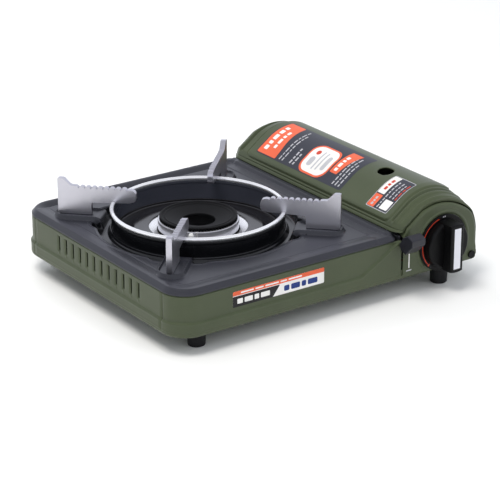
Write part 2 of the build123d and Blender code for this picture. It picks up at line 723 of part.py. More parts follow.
def reflector_cone():
    """Bright cone that closes the gap between the burner and the drip pan."""
    top = PAN_DISC_Z - PAN_T
    flange_r = PAN_HOLE_R + CONE_FLANGE
    cone = turned([(CONE_IN_R, top - CONE_DROP), (CONE_IN_R + PAN_T, top - CONE_DROP),
                   (PAN_HOLE_R + PAN_T, top - PAN_T), (flange_r, top - PAN_T), (flange_r, top),
                   (PAN_HOLE_R, top)])
    x, y = polar(IGNITER_R, IGNITER_AZ)
    return cone - rod_z(x, y, FLOOR_Z, top + CUT, CERAMIC_R + PIPE_HOLE_CLEAR)


# ---- pan support -------------------------------------------------------------------------------
def arm_azimuths():
    """Directions of the four arms."""
    return [45 + 90 * index for index in range(4)]


def trivet_ring():
    """Wire ring that carries the arms."""
    return Pos(BURNER_X, BURNER_Y, RING_Z) * Torus(RING_R, RING_WIRE_R)


def arm_outline():
    """Side view of an arm in (radius, height): rounded tip, saw teeth, lug and foot."""
    pitch = (ARM_TEETH_OUT_R - ARM_TEETH_IN_R) / ARM_TEETH
    points = [(ARM_TIP_R + ARM_TIP_EDGE, ARM_TIP_Z - ARM_TIP_EDGE), (ARM_TIP_R, ARM_TIP_Z),
              (ARM_TIP_R, ARM_TIP_Z + ARM_TIP_H), (ARM_TIP_R + ARM_TIP_H, ARM_TOOTH_Z - ARM_TOOTH_H)]
    for index in range(ARM_TEETH):
        start = ARM_TEETH_IN_R + index * pitch
        points.append((start, ARM_TOOTH_Z - ARM_TOOTH_H))
        points.append((start + pitch * ARM_TOOTH_RISE, ARM_TOOTH_Z))
        points.append((start + pitch * ARM_TOOTH_FALL, ARM_TOOTH_Z))
    points += [(ARM_TEETH_OUT_R, ARM_TOOTH_Z), (ARM_LUG_IN_R, ARM_TOOTH_Z),
               (ARM_OUT_R - ARM_LUG_FLAT, ARM_TOP_Z),
               (ARM_OUT_R - ARM_CORNER, ARM_TOP_Z), (ARM_OUT_R, ARM_TOP_Z - ARM_CORNER),
               (ARM_OUT_R, PAD_Z + ARM_FOOT_CLEAR), (ARM_STEP_R, PAD_Z + ARM_FOOT_CLEAR),
               (ARM_STEP_R, ARM_LOW_Z), (RING_R, ARM_LOW_Z + ARM_CORNER)]
    return points


def trivet_arm(azimuth):
    """Folded sheet arm standing on a pad of the plate and notched over the ring."""
    face = make_face(Polyline(*[(r, 0, z) for r, z in arm_outline()], close=True))
    arm = extrude(face, ARM_T / 2, dir=(0, 1, 0), both=True)
    arm -= rod_y(RING_R, RING_Z, -ARM_T, ARM_T, RING_WIRE_R + ARM_NOTCH_CLEAR)
    arm -= block(RING_R - RING_WIRE_R - ARM_NOTCH_CLEAR, RING_R + RING_WIRE_R + ARM_NOTCH_CLEAR,
                 -ARM_T, ARM_T, RING_Z - RING_WIRE_R * 2, RING_Z)
    return Pos(BURNER_X, BURNER_Y, 0) * Rot(0, 0, azimuth) * arm


# ---- burner ------------------------------------------------------------------------------------
def burner_cap():
    """Dished cap with a hole in its middle and a row of side ports."""
    hole_z = CAP_TOP_Z - CAP_DISH
    cap = turned([(CAP_HOLE_R, hole_z - CAP_T), (CAP_HOLE_R, hole_z),
                  (CAP_R - CAP_RIM_W - CAP_RIM_DROP, CAP_TOP_Z - CAP_RIM_DROP),
                  (CAP_R - CAP_RIM_W, CAP_TOP_Z), (CAP_R, CAP_TOP_Z), (CAP_R, CAP_BOTTOM_Z),
                  (CAP_R - CAP_SEAT_W, CAP_BOTTOM_Z), (CAP_HOLE_R + CAP_T, hole_z - CAP_T)])
    for index in range(CAP_PORTS):
        port = Pos(CAP_R, 0, CAP_BOTTOM_Z + CAP_PORT_H / 2) * Box(2 * CAP_RIM_W, CAP_PORT_W, CAP_PORT_H)
        cap -= Pos(BURNER_X, BURNER_Y, 0) * Rot(0, 0, 360 * index / CAP_PORTS) * port
    return cap


def burner_skirt():
    """Bright ring round the top of the mixing bowl, which the cap sits on."""
    inner, seat_r = SKIRT_R - SKIRT_T, CAP_R - CAP_SEAT_W
    return turned([(inner, SKIRT_Z), (SKIRT_R, SKIRT_Z), (SKIRT_R, CAP_BOTTOM_Z), (seat_r, CAP_BOTTOM_Z),
                   (seat_r, CAP_BOTTOM_Z - SKIRT_T), (inner, CAP_BOTTOM_Z - SKIRT_T)])


def venturi(piece):
    """Turn a piece drawn along +x from the burner axis into the mixing tube's direction."""
    return Pos(BURNER_X, BURNER_Y, VENTURI_Z) * Rot(0, 0, VENTURI_AZ) * piece


def burner_body():
    """Cast mixing bowl with its mixing tube and the lug that holds the igniter."""
    rim_in = SKIRT_R - BOWL_T
    waist_r, waist_z, neck_z = rim_in - BOWL_STEP, BOWL_BASE_Z + BOWL_WAIST, BOWL_BASE_Z + BOWL_NECK
    bowl = turned([(0, BOWL_BASE_Z), (BOWL_BASE_R, BOWL_BASE_Z), (waist_r, waist_z),
                   (SKIRT_R - BOWL_STEP / 2, neck_z), (SKIRT_R, SKIRT_Z), (rim_in, SKIRT_Z),
                   (rim_in - BOWL_STEP / 2, neck_z + BOWL_STEP / 2),
                   (waist_r - BOWL_T, waist_z + BOWL_STEP / 2),
                   (BOWL_BASE_R - BOWL_STEP / 2, BOWL_BASE_Z + BOWL_T), (0, BOWL_BASE_Z + BOWL_T)])
    tube = rod_x(0, 0, VENTURI_START, VENTURI_END, VENTURI_R)
    tube += rod_x(0, 0, VENTURI_END - MOUTH_LEN, VENTURI_END, MOUTH_R)
    bore = rod_x(0, 0, VENTURI_START - CUT, VENTURI_END + CUT, VENTURI_BORE_R)
    bore += rod_x(0, 0, VENTURI_END - MOUTH_LEN + MOUTH_T, VENTURI_END + CUT, MOUTH_R - MOUTH_T)
    x, y = polar(IGNITER_R, IGNITER_AZ)
    lug = block(SKIRT_R - LUG_END, IGNITER_R + LUG_END, -LUG_W / 2, LUG_W / 2, LUG_Z, LUG_Z + LUG_T)
    lug = Pos(BURNER_X, BURNER_Y, 0) * Rot(0, 0, IGNITER_AZ) * lug
    body = bowl + venturi(tube) - venturi(bore) + lug
    return body - rod_z(x, y, LUG_Z - CUT, LUG_Z + LUG_T + CUT, CERAMIC_R)


def burner_bracket():
    """Sheet bridge under the bowl, standing on the floor."""
    half, width = BRACKET_SPAN / 2, BRACKET_W / 2
    bridge = block(-half, half, -width, width, BOWL_BASE_Z - SHEET, BOWL_BASE_Z)
    for side in (-1, 1):
        x0, x1 = sorted((side * half, side * (half - SHEET)))
        bridge += block(x0, x1, -width, width, FLOOR_Z, BOWL_BASE_Z)
        x0, x1 = sorted((side * half, side * (half + BRACKET_FOOT)))
        bridge += block(x0, x1, -width, width, FLOOR_Z, FLOOR_Z + SHEET)
    return Pos(BURNER_X, BURNER_Y, 0) * Rot(0, 0, VENTURI_AZ + 90) * bridge


def igniter_electrode():
    """Ceramic tube beside the burner."""
    x, y = polar(IGNITER_R, IGNITER_AZ)
    tube = rod_z(x, y, CERAMIC_BOTTOM_Z, CERAMIC_TOP_Z, CERAMIC_R)
    tube += rod_z(x, y, LUG_Z + LUG_T, LUG_Z + 2 * LUG_T, CERAMIC_R + SLEEVE_T)
    return tube - rod_z(x, y, CERAMIC_BOTTOM_Z - CUT, CERAMIC_TOP_Z + CUT, PIN_R)


def electrode_pin():
    """Steel pin through the ceramic tube."""
    x, y = polar(IGNITER_R, IGNITER_AZ)
    return rod_z(x, y, CERAMIC_BOTTOM_Z, CERAMIC_TOP_Z + PIN_TIP, PIN_R)


# ---- gas train ---------------------------------------------------------------------------------
def gas_nozzle():
    """Brass jet in the mouth of the mixing tube."""
    start = VENTURI_END - NOZZLE_INSERT
    end = start + NOZZLE_LEN
    nozzle = rod_x(0, 0, start, end, NOZZLE_R / 2)
    nozzle += rod_x(0, 0, VENTURI_END, end, NOZZLE_R)
    return venturi(nozzle - rod_x(0, 0, start - CUT, end + CUT, NOZZLE_BORE_R))


def nozzle_clip():
    """Sheet clip from the mixing tube's mouth to the nozzle, open to the air between."""
    clip = rod_x(0, 0, VENTURI_END, VENTURI_END + SHEET, MOUTH_R)
    clip -= rod_x(0, 0, VENTURI_END - CUT, VENTURI_END + 2 * CUT, NOZZLE_R)
    window = MOUTH_R - NOZZLE_R - 2
    for side in (-1, 1):
        middle = side * (NOZZLE_R + 1 + window / 2)
        clip -= block(VENTURI_END - CUT, VENTURI_END + 2 * CUT, middle - window / 2, middle + window / 2,
                      -NOZZLE_R / 2, NOZZLE_R / 2)
    return venturi(clip)


def pipe_route():
    """Nozzle end, bend and governor end of the gas pipe in plan."""
    return polar(NOZZLE_END, VENTURI_AZ), (GOVERNOR_X0 - PIPE_STUB, PIPE_Y), (GOVERNOR_X0, PIPE_Y)


def gas_pipe():
    """Tube from the governor to the nozzle with one bend."""
    start, bend, end = [(x, y, PIPE_Z) for x, y in pipe_route()]
    path = FilletPolyline(start, bend, end, radius=PIPE_BEND_R)
    plane = Plane(origin=start, z_dir=path % 0)
    return sweep(plane * Circle(PIPE_R), path) - sweep(plane * Circle(PIPE_BORE_R), path)


def governor():
    """Round pressure governor with its neck to the valve."""
    z = VALVE_Z0 + GOVERNOR_R - GOVERNOR_DROP
    disc = rod_x(PIPE_Y, z, GOVERNOR_X0, GOVERNOR_X0 + GOVERNOR_T, GOVERNOR_R)
    disc = fillet(disc.edges().filter_by(GeomType.CIRCLE), GOVERNOR_EDGE_R)
    return disc + rod_x(PIPE_Y, z, GOVERNOR_X0 + GOVERNOR_T, VALVE_X0, GOVERNOR_NECK_R)


def gas_valve_body():
    """Die-cast valve with the canister's socket at the back and the stem's bore in front."""
    body = block(VALVE_X0, VALVE_X1, VALVE_Y0, VALVE_Y1, VALVE_Z0, VALVE_Z1)
    body = fillet(body.edges().filter_by(Axis.Y), VALVE_EDGE_R)
    socket_end = VALVE_Y1 + SOCKET_LEN
    body += rod_y(CANISTER_X, CANISTER_Z, VALVE_Y1, socket_end, SOCKET_R)
    body -= rod_y(CANISTER_X, CANISTER_Z, socket_end - SOCKET_DEPTH, socket_end + CUT, SOCKET_BORE_R)
    return body - rod_y(DIAL_X, DIAL_Z, VALVE_Y0 - CUT, VALVE_Y0 + STEM_IN, STEM_R + STEM_FIT)


def valve_bracket():
    """Sheet stand under the valve body."""
    y0 = VALVE_Y0 + STAND_IN
    stand = block(VALVE_X0, VALVE_X1, y0, y0 + SHEET, FLOOR_Z, VALVE_Z0)
    stand += block(VALVE_X0, VALVE_X1, y0, y0 + STAND_SHELF, VALVE_Z0 - SHEET, VALVE_Z0)
    return stand + block(VALVE_X0, VALVE_X1, y0, y0 + STAND_FOOT, FLOOR_Z, FLOOR_Z + SHEET)


def valve_stem():
    """Stem from the valve body out through the control panel into the knob."""
    return rod_y(DIAL_X, DIAL_Z, -KNOB_FRONT / 2, VALVE_Y0 + STEM_IN - STEM_END_GAP, STEM_R)


def piezo_igniter():
    """Spark generator beside the valve."""
    end = VALVE_Y0 + PIEZO_LEN
    body = rod_y(PIEZO_X, PIEZO_Z, VALVE_Y0, end - PIEZO_TIP_LEN, PIEZO_R)
    return body + rod_y(PIEZO_X, PIEZO_Z, end - PIEZO_TIP_LEN, end, PIEZO_TIP_R)


def lead_floor_z():
    """Height of the igniter lead where it runs along the floor."""
    return FLOOR_Z + LEAD_R + LEAD_SEAT


def lead_route():
    """Igniter lead: down from the electrode, along the floor, up to the spark generator."""
    x, y = polar(IGNITER_R, IGNITER_AZ)
    low = lead_floor_z()
    end_y = VALVE_Y0 + PIEZO_LEN - 2 * PIEZO_TIP_LEN
    return [(x, y, CERAMIC_BOTTOM_Z), (x, y, CERAMIC_BOTTOM_Z - 14), (x + 2, y - 12, low + 3),
            (x + 34, y - 30, low), (x + 82, y - 50, low), (x + 129, lead_crossing_y() + 3, low),
            (PARTITION_X + 18, lead_crossing_y() - 1, low), (PIEZO_X - 20, end_y + 2, low),
            (PIEZO_X - 2, end_y, low + 4), (PIEZO_X, end_y, PIEZO_Z - PIEZO_R - LEAD_SEAT)]


def lead_crossing_y():
    """Where the igniter lead passes through the partition."""
    return VALVE_Y1 + 2


def igniter_wire():
    """Insulated lead with arcs as large as its runs allow."""
    points = [Vector(*point) for point in lead_route()]
    radii = []
    for before, here, after in zip(points, points[1:], points[2:]):
        turn = math.radians((here - before).get_angle(after - here))
        shorter = min((here - before).length, (after - here).length)
        radii.append(0.45 * shorter / math.tan(turn / 2))
    path = FilletPolyline(*points, radius=radii)
    lead = sweep(Plane(origin=points[0], z_dir=path % 0) * Circle(LEAD_R), path)
    expected = path.length * math.pi * LEAD_R ** 2
    print(f"igniter lead {path.length:.0f} mm, radii {[round(r, 1) for r in radii]}, "
          f"volume ratio {lead.volume / expected:.3f}")
    return lead


def canister_cradle():
    """Bright trough on the floor that the canister lies in."""
    ring = rod_y(CANISTER_X, CANISTER_Z, CRADLE_Y0, CRADLE_Y1, CRADLE_R + CRADLE_T)
    ring -= rod_y(CANISTER_X, CANISTER_Z, CRADLE_Y0 - CUT, CRADLE_Y1 + CUT, CRADLE_R)
    edge_z = CANISTER_Z - CRADLE_R * math.cos(math.radians(CRADLE_HALF_ANGLE))
    reach = CRADLE_R + CRADLE_T + CUT
    return ring & block(CANISTER_X - reach, CANISTER_X + reach, CRADLE_Y0, CRADLE_Y1, 0, edge_z)


def canister_clamp():
    """Fork plate that draws the canister's collar into the socket."""
    half = CLAMP_W / 2
    low = FLOOR_Z + CLAMP_SEAT
    plate = block(CANISTER_X - half, CANISTER_X + half, CLAMP_Y, CLAMP_Y + CLAMP_T, low, CLAMP_TOP_Z)
    plate -= rod_y(CANISTER_X, CANISTER_Z, CLAMP_Y - CUT, CLAMP_Y + CLAMP_T + CUT, CLAMP_FORK_R)
    plate -= block(CANISTER_X - CLAMP_FORK_R, CANISTER_X + CLAMP_FORK_R, CLAMP_Y - CUT,
                   CLAMP_Y + CLAMP_T + CUT, CANISTER_Z, CLAMP_TOP_Z + CUT)
    return plate + block(CANISTER_X - half, CANISTER_X + half, CLAMP_Y + CLAMP_T,
                         CLAMP_Y + CLAMP_T + CLAMP_FOOT, low, low + SHEET)


# ---- controls ----------------------------------------------------------------------------------
def dial_bezel():
    """Ring behind the knob that carries the dial marks."""
    bezel = rod_y(DIAL_X, DIAL_Z, -BEZEL_T, 0, BEZEL_R)
    bezel = chamfer(bezel.edges().group_by(Axis.Y)[0], BEZEL_CHAMFER)
    return bezel - rod_y(DIAL_X, DIAL_Z, -BEZEL_T - CUT, CUT, STEM_R + KNOB_CLEAR)


def knob():
    """Round knob with an upright grip, bored for the stem and recessed for its pointer."""
    body = rod_y(DIAL_X, DIAL_Z, -KNOB_BACK - KNOB_SKIRT, -KNOB_BACK, KNOB_R)
    body = fillet(body.edges().group_by(Axis.Y)[0], KNOB_EDGE_R)
    grip = block(DIAL_X - GRIP_W / 2, DIAL_X + GRIP_W / 2, -KNOB_FRONT, -KNOB_BACK,
                 DIAL_Z - GRIP_H / 2, DIAL_Z + GRIP_H / 2)
    grip &= rod_y(DIAL_X, DIAL_Z, -KNOB_FRONT, -KNOB_BACK, GRIP_H / 2)
    grip = fillet(grip.edges().group_by(Axis.Y)[0], GRIP_EDGE_R)
    body += grip
    body -= pointer_block(INSERT_T)
    return body - rod_y(DIAL_X, DIAL_Z, -KNOB_FRONT / 2, 0, STEM_R)


def pointer_block(depth):
    """Upright bar in the front of the grip."""
    return block(DIAL_X - INSERT_W / 2, DIAL_X + INSERT_W / 2, -KNOB_FRONT, -KNOB_FRONT + depth,
                 DIAL_Z - INSERT_H / 2, DIAL_Z + INSERT_H / 2)


def lock_lever():
    """Thumb lever: a prism outside, a neck through the slot and a tail inside."""
    top, nose = LEVER_TOP_Z, LEVER_TOP_Z - LEVER_NOSE_DROP
    section = [(-LEVER_BACK_OUT, top - LEVER_BACK_DROP), (-LEVER_SHOULDER_OUT, top - LEVER_SHOULDER_DROP),
               (-LEVER_CREST_OUT, top), (-LEVER_OUT, nose), (-LEVER_OUT, nose - LEVER_NOSE_H),
               (-LEVER_HEEL_OUT, top - LEVER_H), (-LEVER_LOW_OUT, top - LEVER_LOW_DROP)]
    face = make_face(Polyline(*[(LEVER_X0, y, z) for y, z in section], close=True))
    lever = extrude(face, LEVER_X1 - LEVER_X0, dir=(1, 0, 0))
    x0, x1 = SLOT_X0 + LEVER_CLEAR, SLOT_X1 - LEVER_CLEAR
    lever += block(x0, x1, -LEVER_CREST_OUT, LEVER_TAIL_Y0, LEVER_NECK_Z0 + LEVER_NECK_LAP, LEVER_NECK_Z1)
    return lever + block(x0, x1, LEVER_TAIL_Y0, LEVER_TAIL_Y1, LEVER_NECK_Z0 - LEVER_TAIL_MARGIN,
                         LEVER_NECK_Z1 + LEVER_TAIL_MARGIN)


def lever_guide():
    """Channel on the partition that the lever's tail slides in."""
    y0 = LEVER_TAIL_Y1 + LEVER_CLEAR
    z0 = LEVER_NECK_Z0 - LEVER_TAIL_MARGIN - LEVER_TRAVEL
    x0 = PARTITION_X + PARTITION_T
    return block(x0, x0 + GUIDE_W, y0, y0 + SHEET, z0, LEVER_NECK_Z1)


# ---- feet and screws ---------------------------------------------------------------------------
def foot_places():
    """Plan place of each foot: front left, front right, rear left, rear right."""
    return [(FOOT_LEFT_X, FOOT_LEFT_IN), (FOOT_RIGHT_X, FOOT_RIGHT_IN),
            (FOOT_LEFT_X, CASING_D - FOOT_LEFT_IN), (FOOT_RIGHT_X, CASING_D - FOOT_RIGHT_IN)]


def foot(x, y):
    """Tapered rubber foot with a recess for its screw's head."""
    body = Pos(x, y, BASE_Z - FOOT_H / 2) * Cone(FOOT_R - FOOT_TAPER, FOOT_R, FOOT_H)
    body = fillet(body.edges().group_by(Axis.Z)[0], FOOT_EDGE_R)
    body -= rod_z(x, y, BASE_Z - FOOT_H - CUT, BASE_Z + CUT, SCREW_R + SCREW_FIT)
    return body - rod_z(x, y, BASE_Z - FOOT_H - CUT, foot_screw_seat(), SCREW_HEAD_R + SCREW_FIT)


def foot_screw_seat():
    """Height of the face inside a foot that its screw's head pulls on."""
    return BASE_Z - SCREW_LEN


def foot_screw(x, y):
    """Pan-head screw up through a foot into the floor."""
    seat = foot_screw_seat()
    return rod_z(x, y, seat, FLOOR_Z, SCREW_R) + rod_z(x, y, seat - SCREW_HEAD_T, seat, SCREW_HEAD_R)


def rear_screw_places():
    """(x, z) of the rear panels' screws into the base flange."""
    z = (SEAM_Z + FLANGE_Z) / 2
    return [(x, z) for x in REAR_SCREWS_COOK] + [(COOK_W + x, z) for x in REAR_SCREWS_BAY]


def rear_screw(x, z):
    """Pan-head screw from behind into the base flange."""
    shank = rod_y(x, z, CASING_D - SCREW_LEN, CASING_D, SCREW_R)
    return shank + rod_y(x, z, CASING_D, CASING_D + SCREW_HEAD_T, SCREW_HEAD_R)


def screw_holes(piece):
    """Drill a piece for the rear screws."""
    for x, z in rear_screw_places():
        piece -= rod_y(x, z, CASING_D - SCREW_LEN - 2 * CUT, CASING_D + CUT, SCREW_R + SCREW_FIT)
    return piece


def build():
    """Every piece by its node name."""
    walls = wall_prism(0) - wall_prism(SHEET)
    seam, gap = PANEL_SEAM_Y, PANEL_SEAM_GAP
    back = CASING_D
    pieces = {
        "base_pan": screw_holes(base_pan()),
        "front_panel": wall_panel(walls, -CUT, SLOT_X0, -CUT, seam - gap),
        "side_panel": side_panel(walls),
        "rear_panel": screw_holes(wall_panel(walls, -CUT, SLOT_X1 - gap, back - seam + gap, back + CUT)),
        "control_panel": control_panel(),
        "rear_end_panel": rear_end_panel(),
        "partition": partition(),
        "top_plate": top_plate(),
        "wind_shield": wind_shield(),
        "drip_pan": drip_pan(),
        "reflector_cone": reflector_cone(),
        "trivet_ring": trivet_ring(),
        "burner_cap": burner_cap(),
        "burner_skirt": burner_skirt(),
        "burner_body": burner_body(),
        "burner_bracket": burner_bracket(),
        "igniter_electrode": igniter_electrode(),
        "electrode_pin": electrode_pin(),
        "igniter_wire": igniter_wire(),
        "gas_nozzle": gas_nozzle(),
        "nozzle_clip": nozzle_clip(),
        "gas_pipe": gas_pipe(),
        "governor": governor(),
        "gas_valve_body": gas_valve_body(),
        "valve_bracket": valve_bracket(),
        "valve_stem": valve_stem(),
        "piezo_igniter": piezo_igniter(),
        "canister_cradle": canister_cradle(),
        "canister_clamp": canister_clamp(),
        "canister_lid": canister_lid(),
        "hinge_pin_front": hinge_pin(0, 1),
        "hinge_pin_rear": hinge_pin(CASING_D, -1),
        "dial_bezel": dial_bezel(),
        "knob": knob(),
        "knob_pointer": pointer_block(INSERT_T),
        "lock_lever": lock_lever(),
        "lever_guide": lever_guide(),
        "foot_screws": Compound([foot_screw(x, y) for x, y in foot_places()]),
        "rear_panel_screws": Compound([rear_screw(x, z) for x, z in rear_screw_places()]),
    }
    for name, azimuth in zip(("right_rear", "left_rear", "left_front", "right_front"), arm_azimuths()):
        pieces[f"trivet_arm_{name}"] = trivet_arm(azimuth)
    for name, (x, y) in zip(("front_left", "front_right", "rear_left", "rear_right"), foot_places()):
        pieces[f"foot_{name}"] = foot(x, y)
    return pieces


def origin_shift(pieces):
    """Move that puts the middle of the bounding box's bottom at the origin."""
    box = Compound([piece for piece in pieces.values()]).bounding_box()
    return Pos(-(box.min.X + box.max.X) / 2, -(box.min.Y + box.max.Y) / 2, -box.min.Z)


def main():
    """Write one STEP file for each node."""
    os.makedirs("parts", exist_ok=True)
    pieces = build()
    shift = origin_shift(pieces)
    for name, piece in pieces.items():
        moved = shift * piece
        export_step(moved, os.path.join("parts", f"{name}.step"))
    return pieces, shift


if __name__ == "__main__":
    main()
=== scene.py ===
"""Looks of the cassette stove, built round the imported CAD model."""
import json
import math
from bisect import bisect

import bmesh
import bpy
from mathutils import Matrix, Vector


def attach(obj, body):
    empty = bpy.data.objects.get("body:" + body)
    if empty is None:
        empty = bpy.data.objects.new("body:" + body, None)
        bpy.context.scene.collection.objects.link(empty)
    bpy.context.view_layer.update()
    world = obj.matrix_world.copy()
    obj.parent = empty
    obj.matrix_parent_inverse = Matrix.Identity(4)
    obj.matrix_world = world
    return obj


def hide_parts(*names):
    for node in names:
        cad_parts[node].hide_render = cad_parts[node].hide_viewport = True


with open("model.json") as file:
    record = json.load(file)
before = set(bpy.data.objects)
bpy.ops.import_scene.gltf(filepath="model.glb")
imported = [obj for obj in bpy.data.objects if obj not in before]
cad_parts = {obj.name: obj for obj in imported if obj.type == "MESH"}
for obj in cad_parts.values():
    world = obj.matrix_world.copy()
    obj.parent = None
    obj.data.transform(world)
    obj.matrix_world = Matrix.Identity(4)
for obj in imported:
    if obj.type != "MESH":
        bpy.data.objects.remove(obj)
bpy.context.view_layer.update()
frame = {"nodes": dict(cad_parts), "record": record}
nodes = frame["nodes"]

# The shapes below are in millimetres from the casing's front left lower corner: x to the right,
# y to the back, z up. SHIFT is that corner's place in the frame.
SHIFT = Vector((-174.0, -128.3, 18.0))
BURNER = (116.4, 138.5)
DIAL = (304.4, 27.5)
CASING_D = 277.0
SHEET_T = 0.9


def metres(p):
    """Point of the casing's millimetres in the frame's metres."""
    return (Vector(p) + SHIFT) / 1000


def smooth(t):
    """Soft step from 0 to 1."""
    t = min(1.0, max(0.0, t))
    return t * t * (3 - 2 * t)


# ---- materials ---------------------------------------------------------------
def linear(rgb):
    """sRGB bytes to a linear colour."""
    out = []
    for c in rgb:
        c /= 255
        out.append(c / 12.92 if c <= 0.04045 else ((c + 0.055) / 1.055) ** 2.4)
    return (*out, 1.0)


# Reach of the ambient occlusion behind the painted shade in corners, in metres.
SHADE_REACH = 0.006
BROAD_SCALE = 22
# How pointed an edge is where wear starts, and where it is full.
WORN_FROM, WORN_TO = 0.54, 0.62


def set_ramp(node, *stops):
    """Positions and colours of a ramp's stops."""
    for element, (position, rgb) in zip(node.color_ramp.elements, stops):
        element.position = position
        element.color = (*rgb, 1)


def material(name, rgb, rough, metal=0.0, spots=0.06, grain=900, bump=0.02, ior=1.5, level=0.5,
             wear=0.0, wear_rgb=(150, 150, 150), brushed=None, spread=0.05, painted_shade=0.15):
    """Surface with uneven colour and gloss, fine relief, painted shade in its corners and worn
    edges.

    spots, spread and the corner darkening are shares; the corner darkening is painted shade, the
    colour darkened where ambient occlusion finds corners and crevices; bump is the relief's height
    in millimetres; brushed stretches the fine grain along an axis.
    """
    m = bpy.data.materials.new(name)
    m.use_nodes = True
    tree = m.node_tree
    tree.nodes.clear()
    add = tree.nodes.new
    link = tree.links.new
    out = add("ShaderNodeOutputMaterial")
    shader = add("ShaderNodeBsdfPrincipled")
    link(shader.outputs[0], out.inputs[0])
    place = add("ShaderNodeTexCoord")
    coords = place.outputs["Object"]
    if brushed:
        mapping = add("ShaderNodeMapping")
        mapping.inputs["Scale"].default_value = brushed
        link(coords, mapping.inputs[0])
        fine_coords = mapping.outputs[0]
    else:
        fine_coords = coords
    broad = add("ShaderNodeTexNoise")
    broad.inputs["Scale"].default_value = BROAD_SCALE
    broad.inputs["Detail"].default_value = 4
    link(coords, broad.inputs["Vector"])
    fine = add("ShaderNodeTexNoise")
    fine.inputs["Scale"].default_value = grain
    fine.inputs["Detail"].default_value = 3
    link(fine_coords, fine.inputs["Vector"])
    base = linear(rgb)[:3]
    ramp = add("ShaderNodeValToRGB")
    set_ramp(ramp, (0.3, [c * (1 - spots) for c in base]),
             (0.7, [min(1, c * (1 + spots)) for c in base]))
    link(broad.outputs["Fac"], ramp.inputs["Fac"])
    colour = ramp.outputs["Color"]
    # Painted shade: the colour darkens where ambient occlusion finds nearby faces, in corners and
    # crevices.
    if painted_shade:
        corner = add("ShaderNodeAmbientOcclusion")
        corner.samples = 4
        corner.inputs["Distance"].default_value = SHADE_REACH
        dark = add("ShaderNodeMix")
        dark.data_type = "RGBA"
        dark.inputs["A"].default_value = (*(c * (1 - painted_shade) for c in base), 1)
        link(corner.outputs["AO"], dark.inputs["Factor"])
        link(colour, dark.inputs["B"])
        colour = dark.outputs["Result"]
    if wear:
        edge = add("ShaderNodeNewGeometry")
        worn = add("ShaderNodeMapRange")
        worn.inputs["From Min"].default_value = WORN_FROM
        worn.inputs["From Max"].default_value = WORN_TO
        worn.inputs["To Max"].default_value = wear
        link(edge.outputs["Pointiness"], worn.inputs["Value"])
        patch = add("ShaderNodeMath")
        patch.operation = "MULTIPLY"
        link(worn.outputs["Result"], patch.inputs[0])
        link(broad.outputs["Fac"], patch.inputs[1])
        mix = add("ShaderNodeMix")
        mix.data_type = "RGBA"
        mix.inputs["B"].default_value = linear(wear_rgb)
        link(patch.outputs[0], mix.inputs["Factor"])
        link(colour, mix.inputs["A"])
        colour = mix.outputs["Result"]
    link(colour, shader.inputs["Base Color"])
    gloss = add("ShaderNodeMapRange")
    gloss.inputs["To Min"].default_value = max(0.0, rough - spread)
    gloss.inputs["To Max"].default_value = min(1.0, rough + spread)
    link(fine.outputs["Fac"], gloss.inputs["Value"])
    link(gloss.outputs["Result"], shader.inputs["Roughness"])
    relief = add("ShaderNodeBump")
    relief.inputs["Strength"].default_value = 1.0
    relief.inputs["Distance"].default_value = bump / 1000
    link(fine.outputs["Fac"], relief.inputs["Height"])
    link(relief.outputs["Normal"], shader.inputs["Normal"])
    shader.inputs["Metallic"].default_value = metal
    shader.inputs["IOR"].default_value = ior
    shader.inputs["Specular IOR Level"].default_value = level
    return m


M = {
    "green_enamel": material("green_enamel", (70, 78, 56), 0.4, level=0.33, bump=0.006,
                             painted_shade=0.04, wear=0.2, wear_rgb=(120, 126, 102)),
    "black_enamel": material("black_enamel", (14, 15, 18), 0.2, ior=1.45, bump=0.002, grain=120,
                             spread=0.02, wear=0.15, wear_rgb=(60, 62, 68)),
    "pan_enamel": material("pan_enamel", (22, 21, 24), 0.12, ior=1.6, bump=0.002, grain=120,
                           spread=0.03),
    "stainless": material("stainless", (196, 195, 203), 0.3, metal=0.9, bump=0.004,
                          brushed=(1.0, 1.0, 9.0)),
    "chrome_wire": material("chrome_wire", (252, 252, 255), 0.10, metal=0.7, bump=0.003,
                            spread=0.04),
    "bright_steel": material("bright_steel", (238, 238, 236), 0.22, metal=0.65, bump=0.004),
    "zinc_steel": material("zinc_steel", (165, 168, 172), 0.4, metal=1.0, bump=0.008),
    # Far darker than bare aluminium, so that the hollow burner body reads black: painted shade.
    "cast_aluminium": material("cast_aluminium", (62, 62, 64), 0.7, metal=0.6, bump=0.05,
                               grain=600),
    "burner_black": material("burner_black", (9, 9, 10), 0.62, level=0.22, bump=0.02, grain=700,
                             painted_shade=0.4),
    "brass": material("brass", (190, 150, 80), 0.3, metal=1.0, bump=0.006),
    "black_plastic": material("black_plastic", (7, 7, 8), 0.45, level=0.16, bump=0.01, grain=1200),
    "grey_plastic": material("grey_plastic", (34, 34, 42), 0.34, level=0.4, bump=0.01, grain=1200),
    "white_plastic": material("white_plastic", (222, 222, 230), 0.3, bump=0.006, spots=0.02),
    "rubber": material("rubber", (16, 16, 18), 0.6, level=0.25, bump=0.03, grain=1100),
    "ceramic": material("ceramic", (236, 236, 236), 0.25, bump=0.004, spots=0.02),
    "lead_sheath": material("lead_sheath", (150, 40, 30), 0.5, bump=0.01),
}
PLATE = material("plate_enamel", (46, 47, 54), 0.3, ior=1.4, bump=0.0012, grain=120,
                 spread=0.02, painted_shade=0.2)
# Lighter copy of the drum's black enamel for its inner wall: painted reflection.
INSIDE_REFLECTION = material("drum_inside_painted_reflection", (58, 60, 70), 0.22, bump=0.002, grain=120)
BAND = material("burner_band_metal", (226, 226, 232), 0.3, metal=0.8, bump=0.002, spots=0.02)
MIRROR = material("reflector_metal", (252, 252, 252), 0.22, metal=0.9, bump=0.002, spots=0.02)


def ink(name, rgb, spots=0.04):
    """Printed film of a stick-on label."""
    return material("label_" + name, rgb, 0.42, level=0.3, bump=0.003, spots=spots, painted_shade=0)


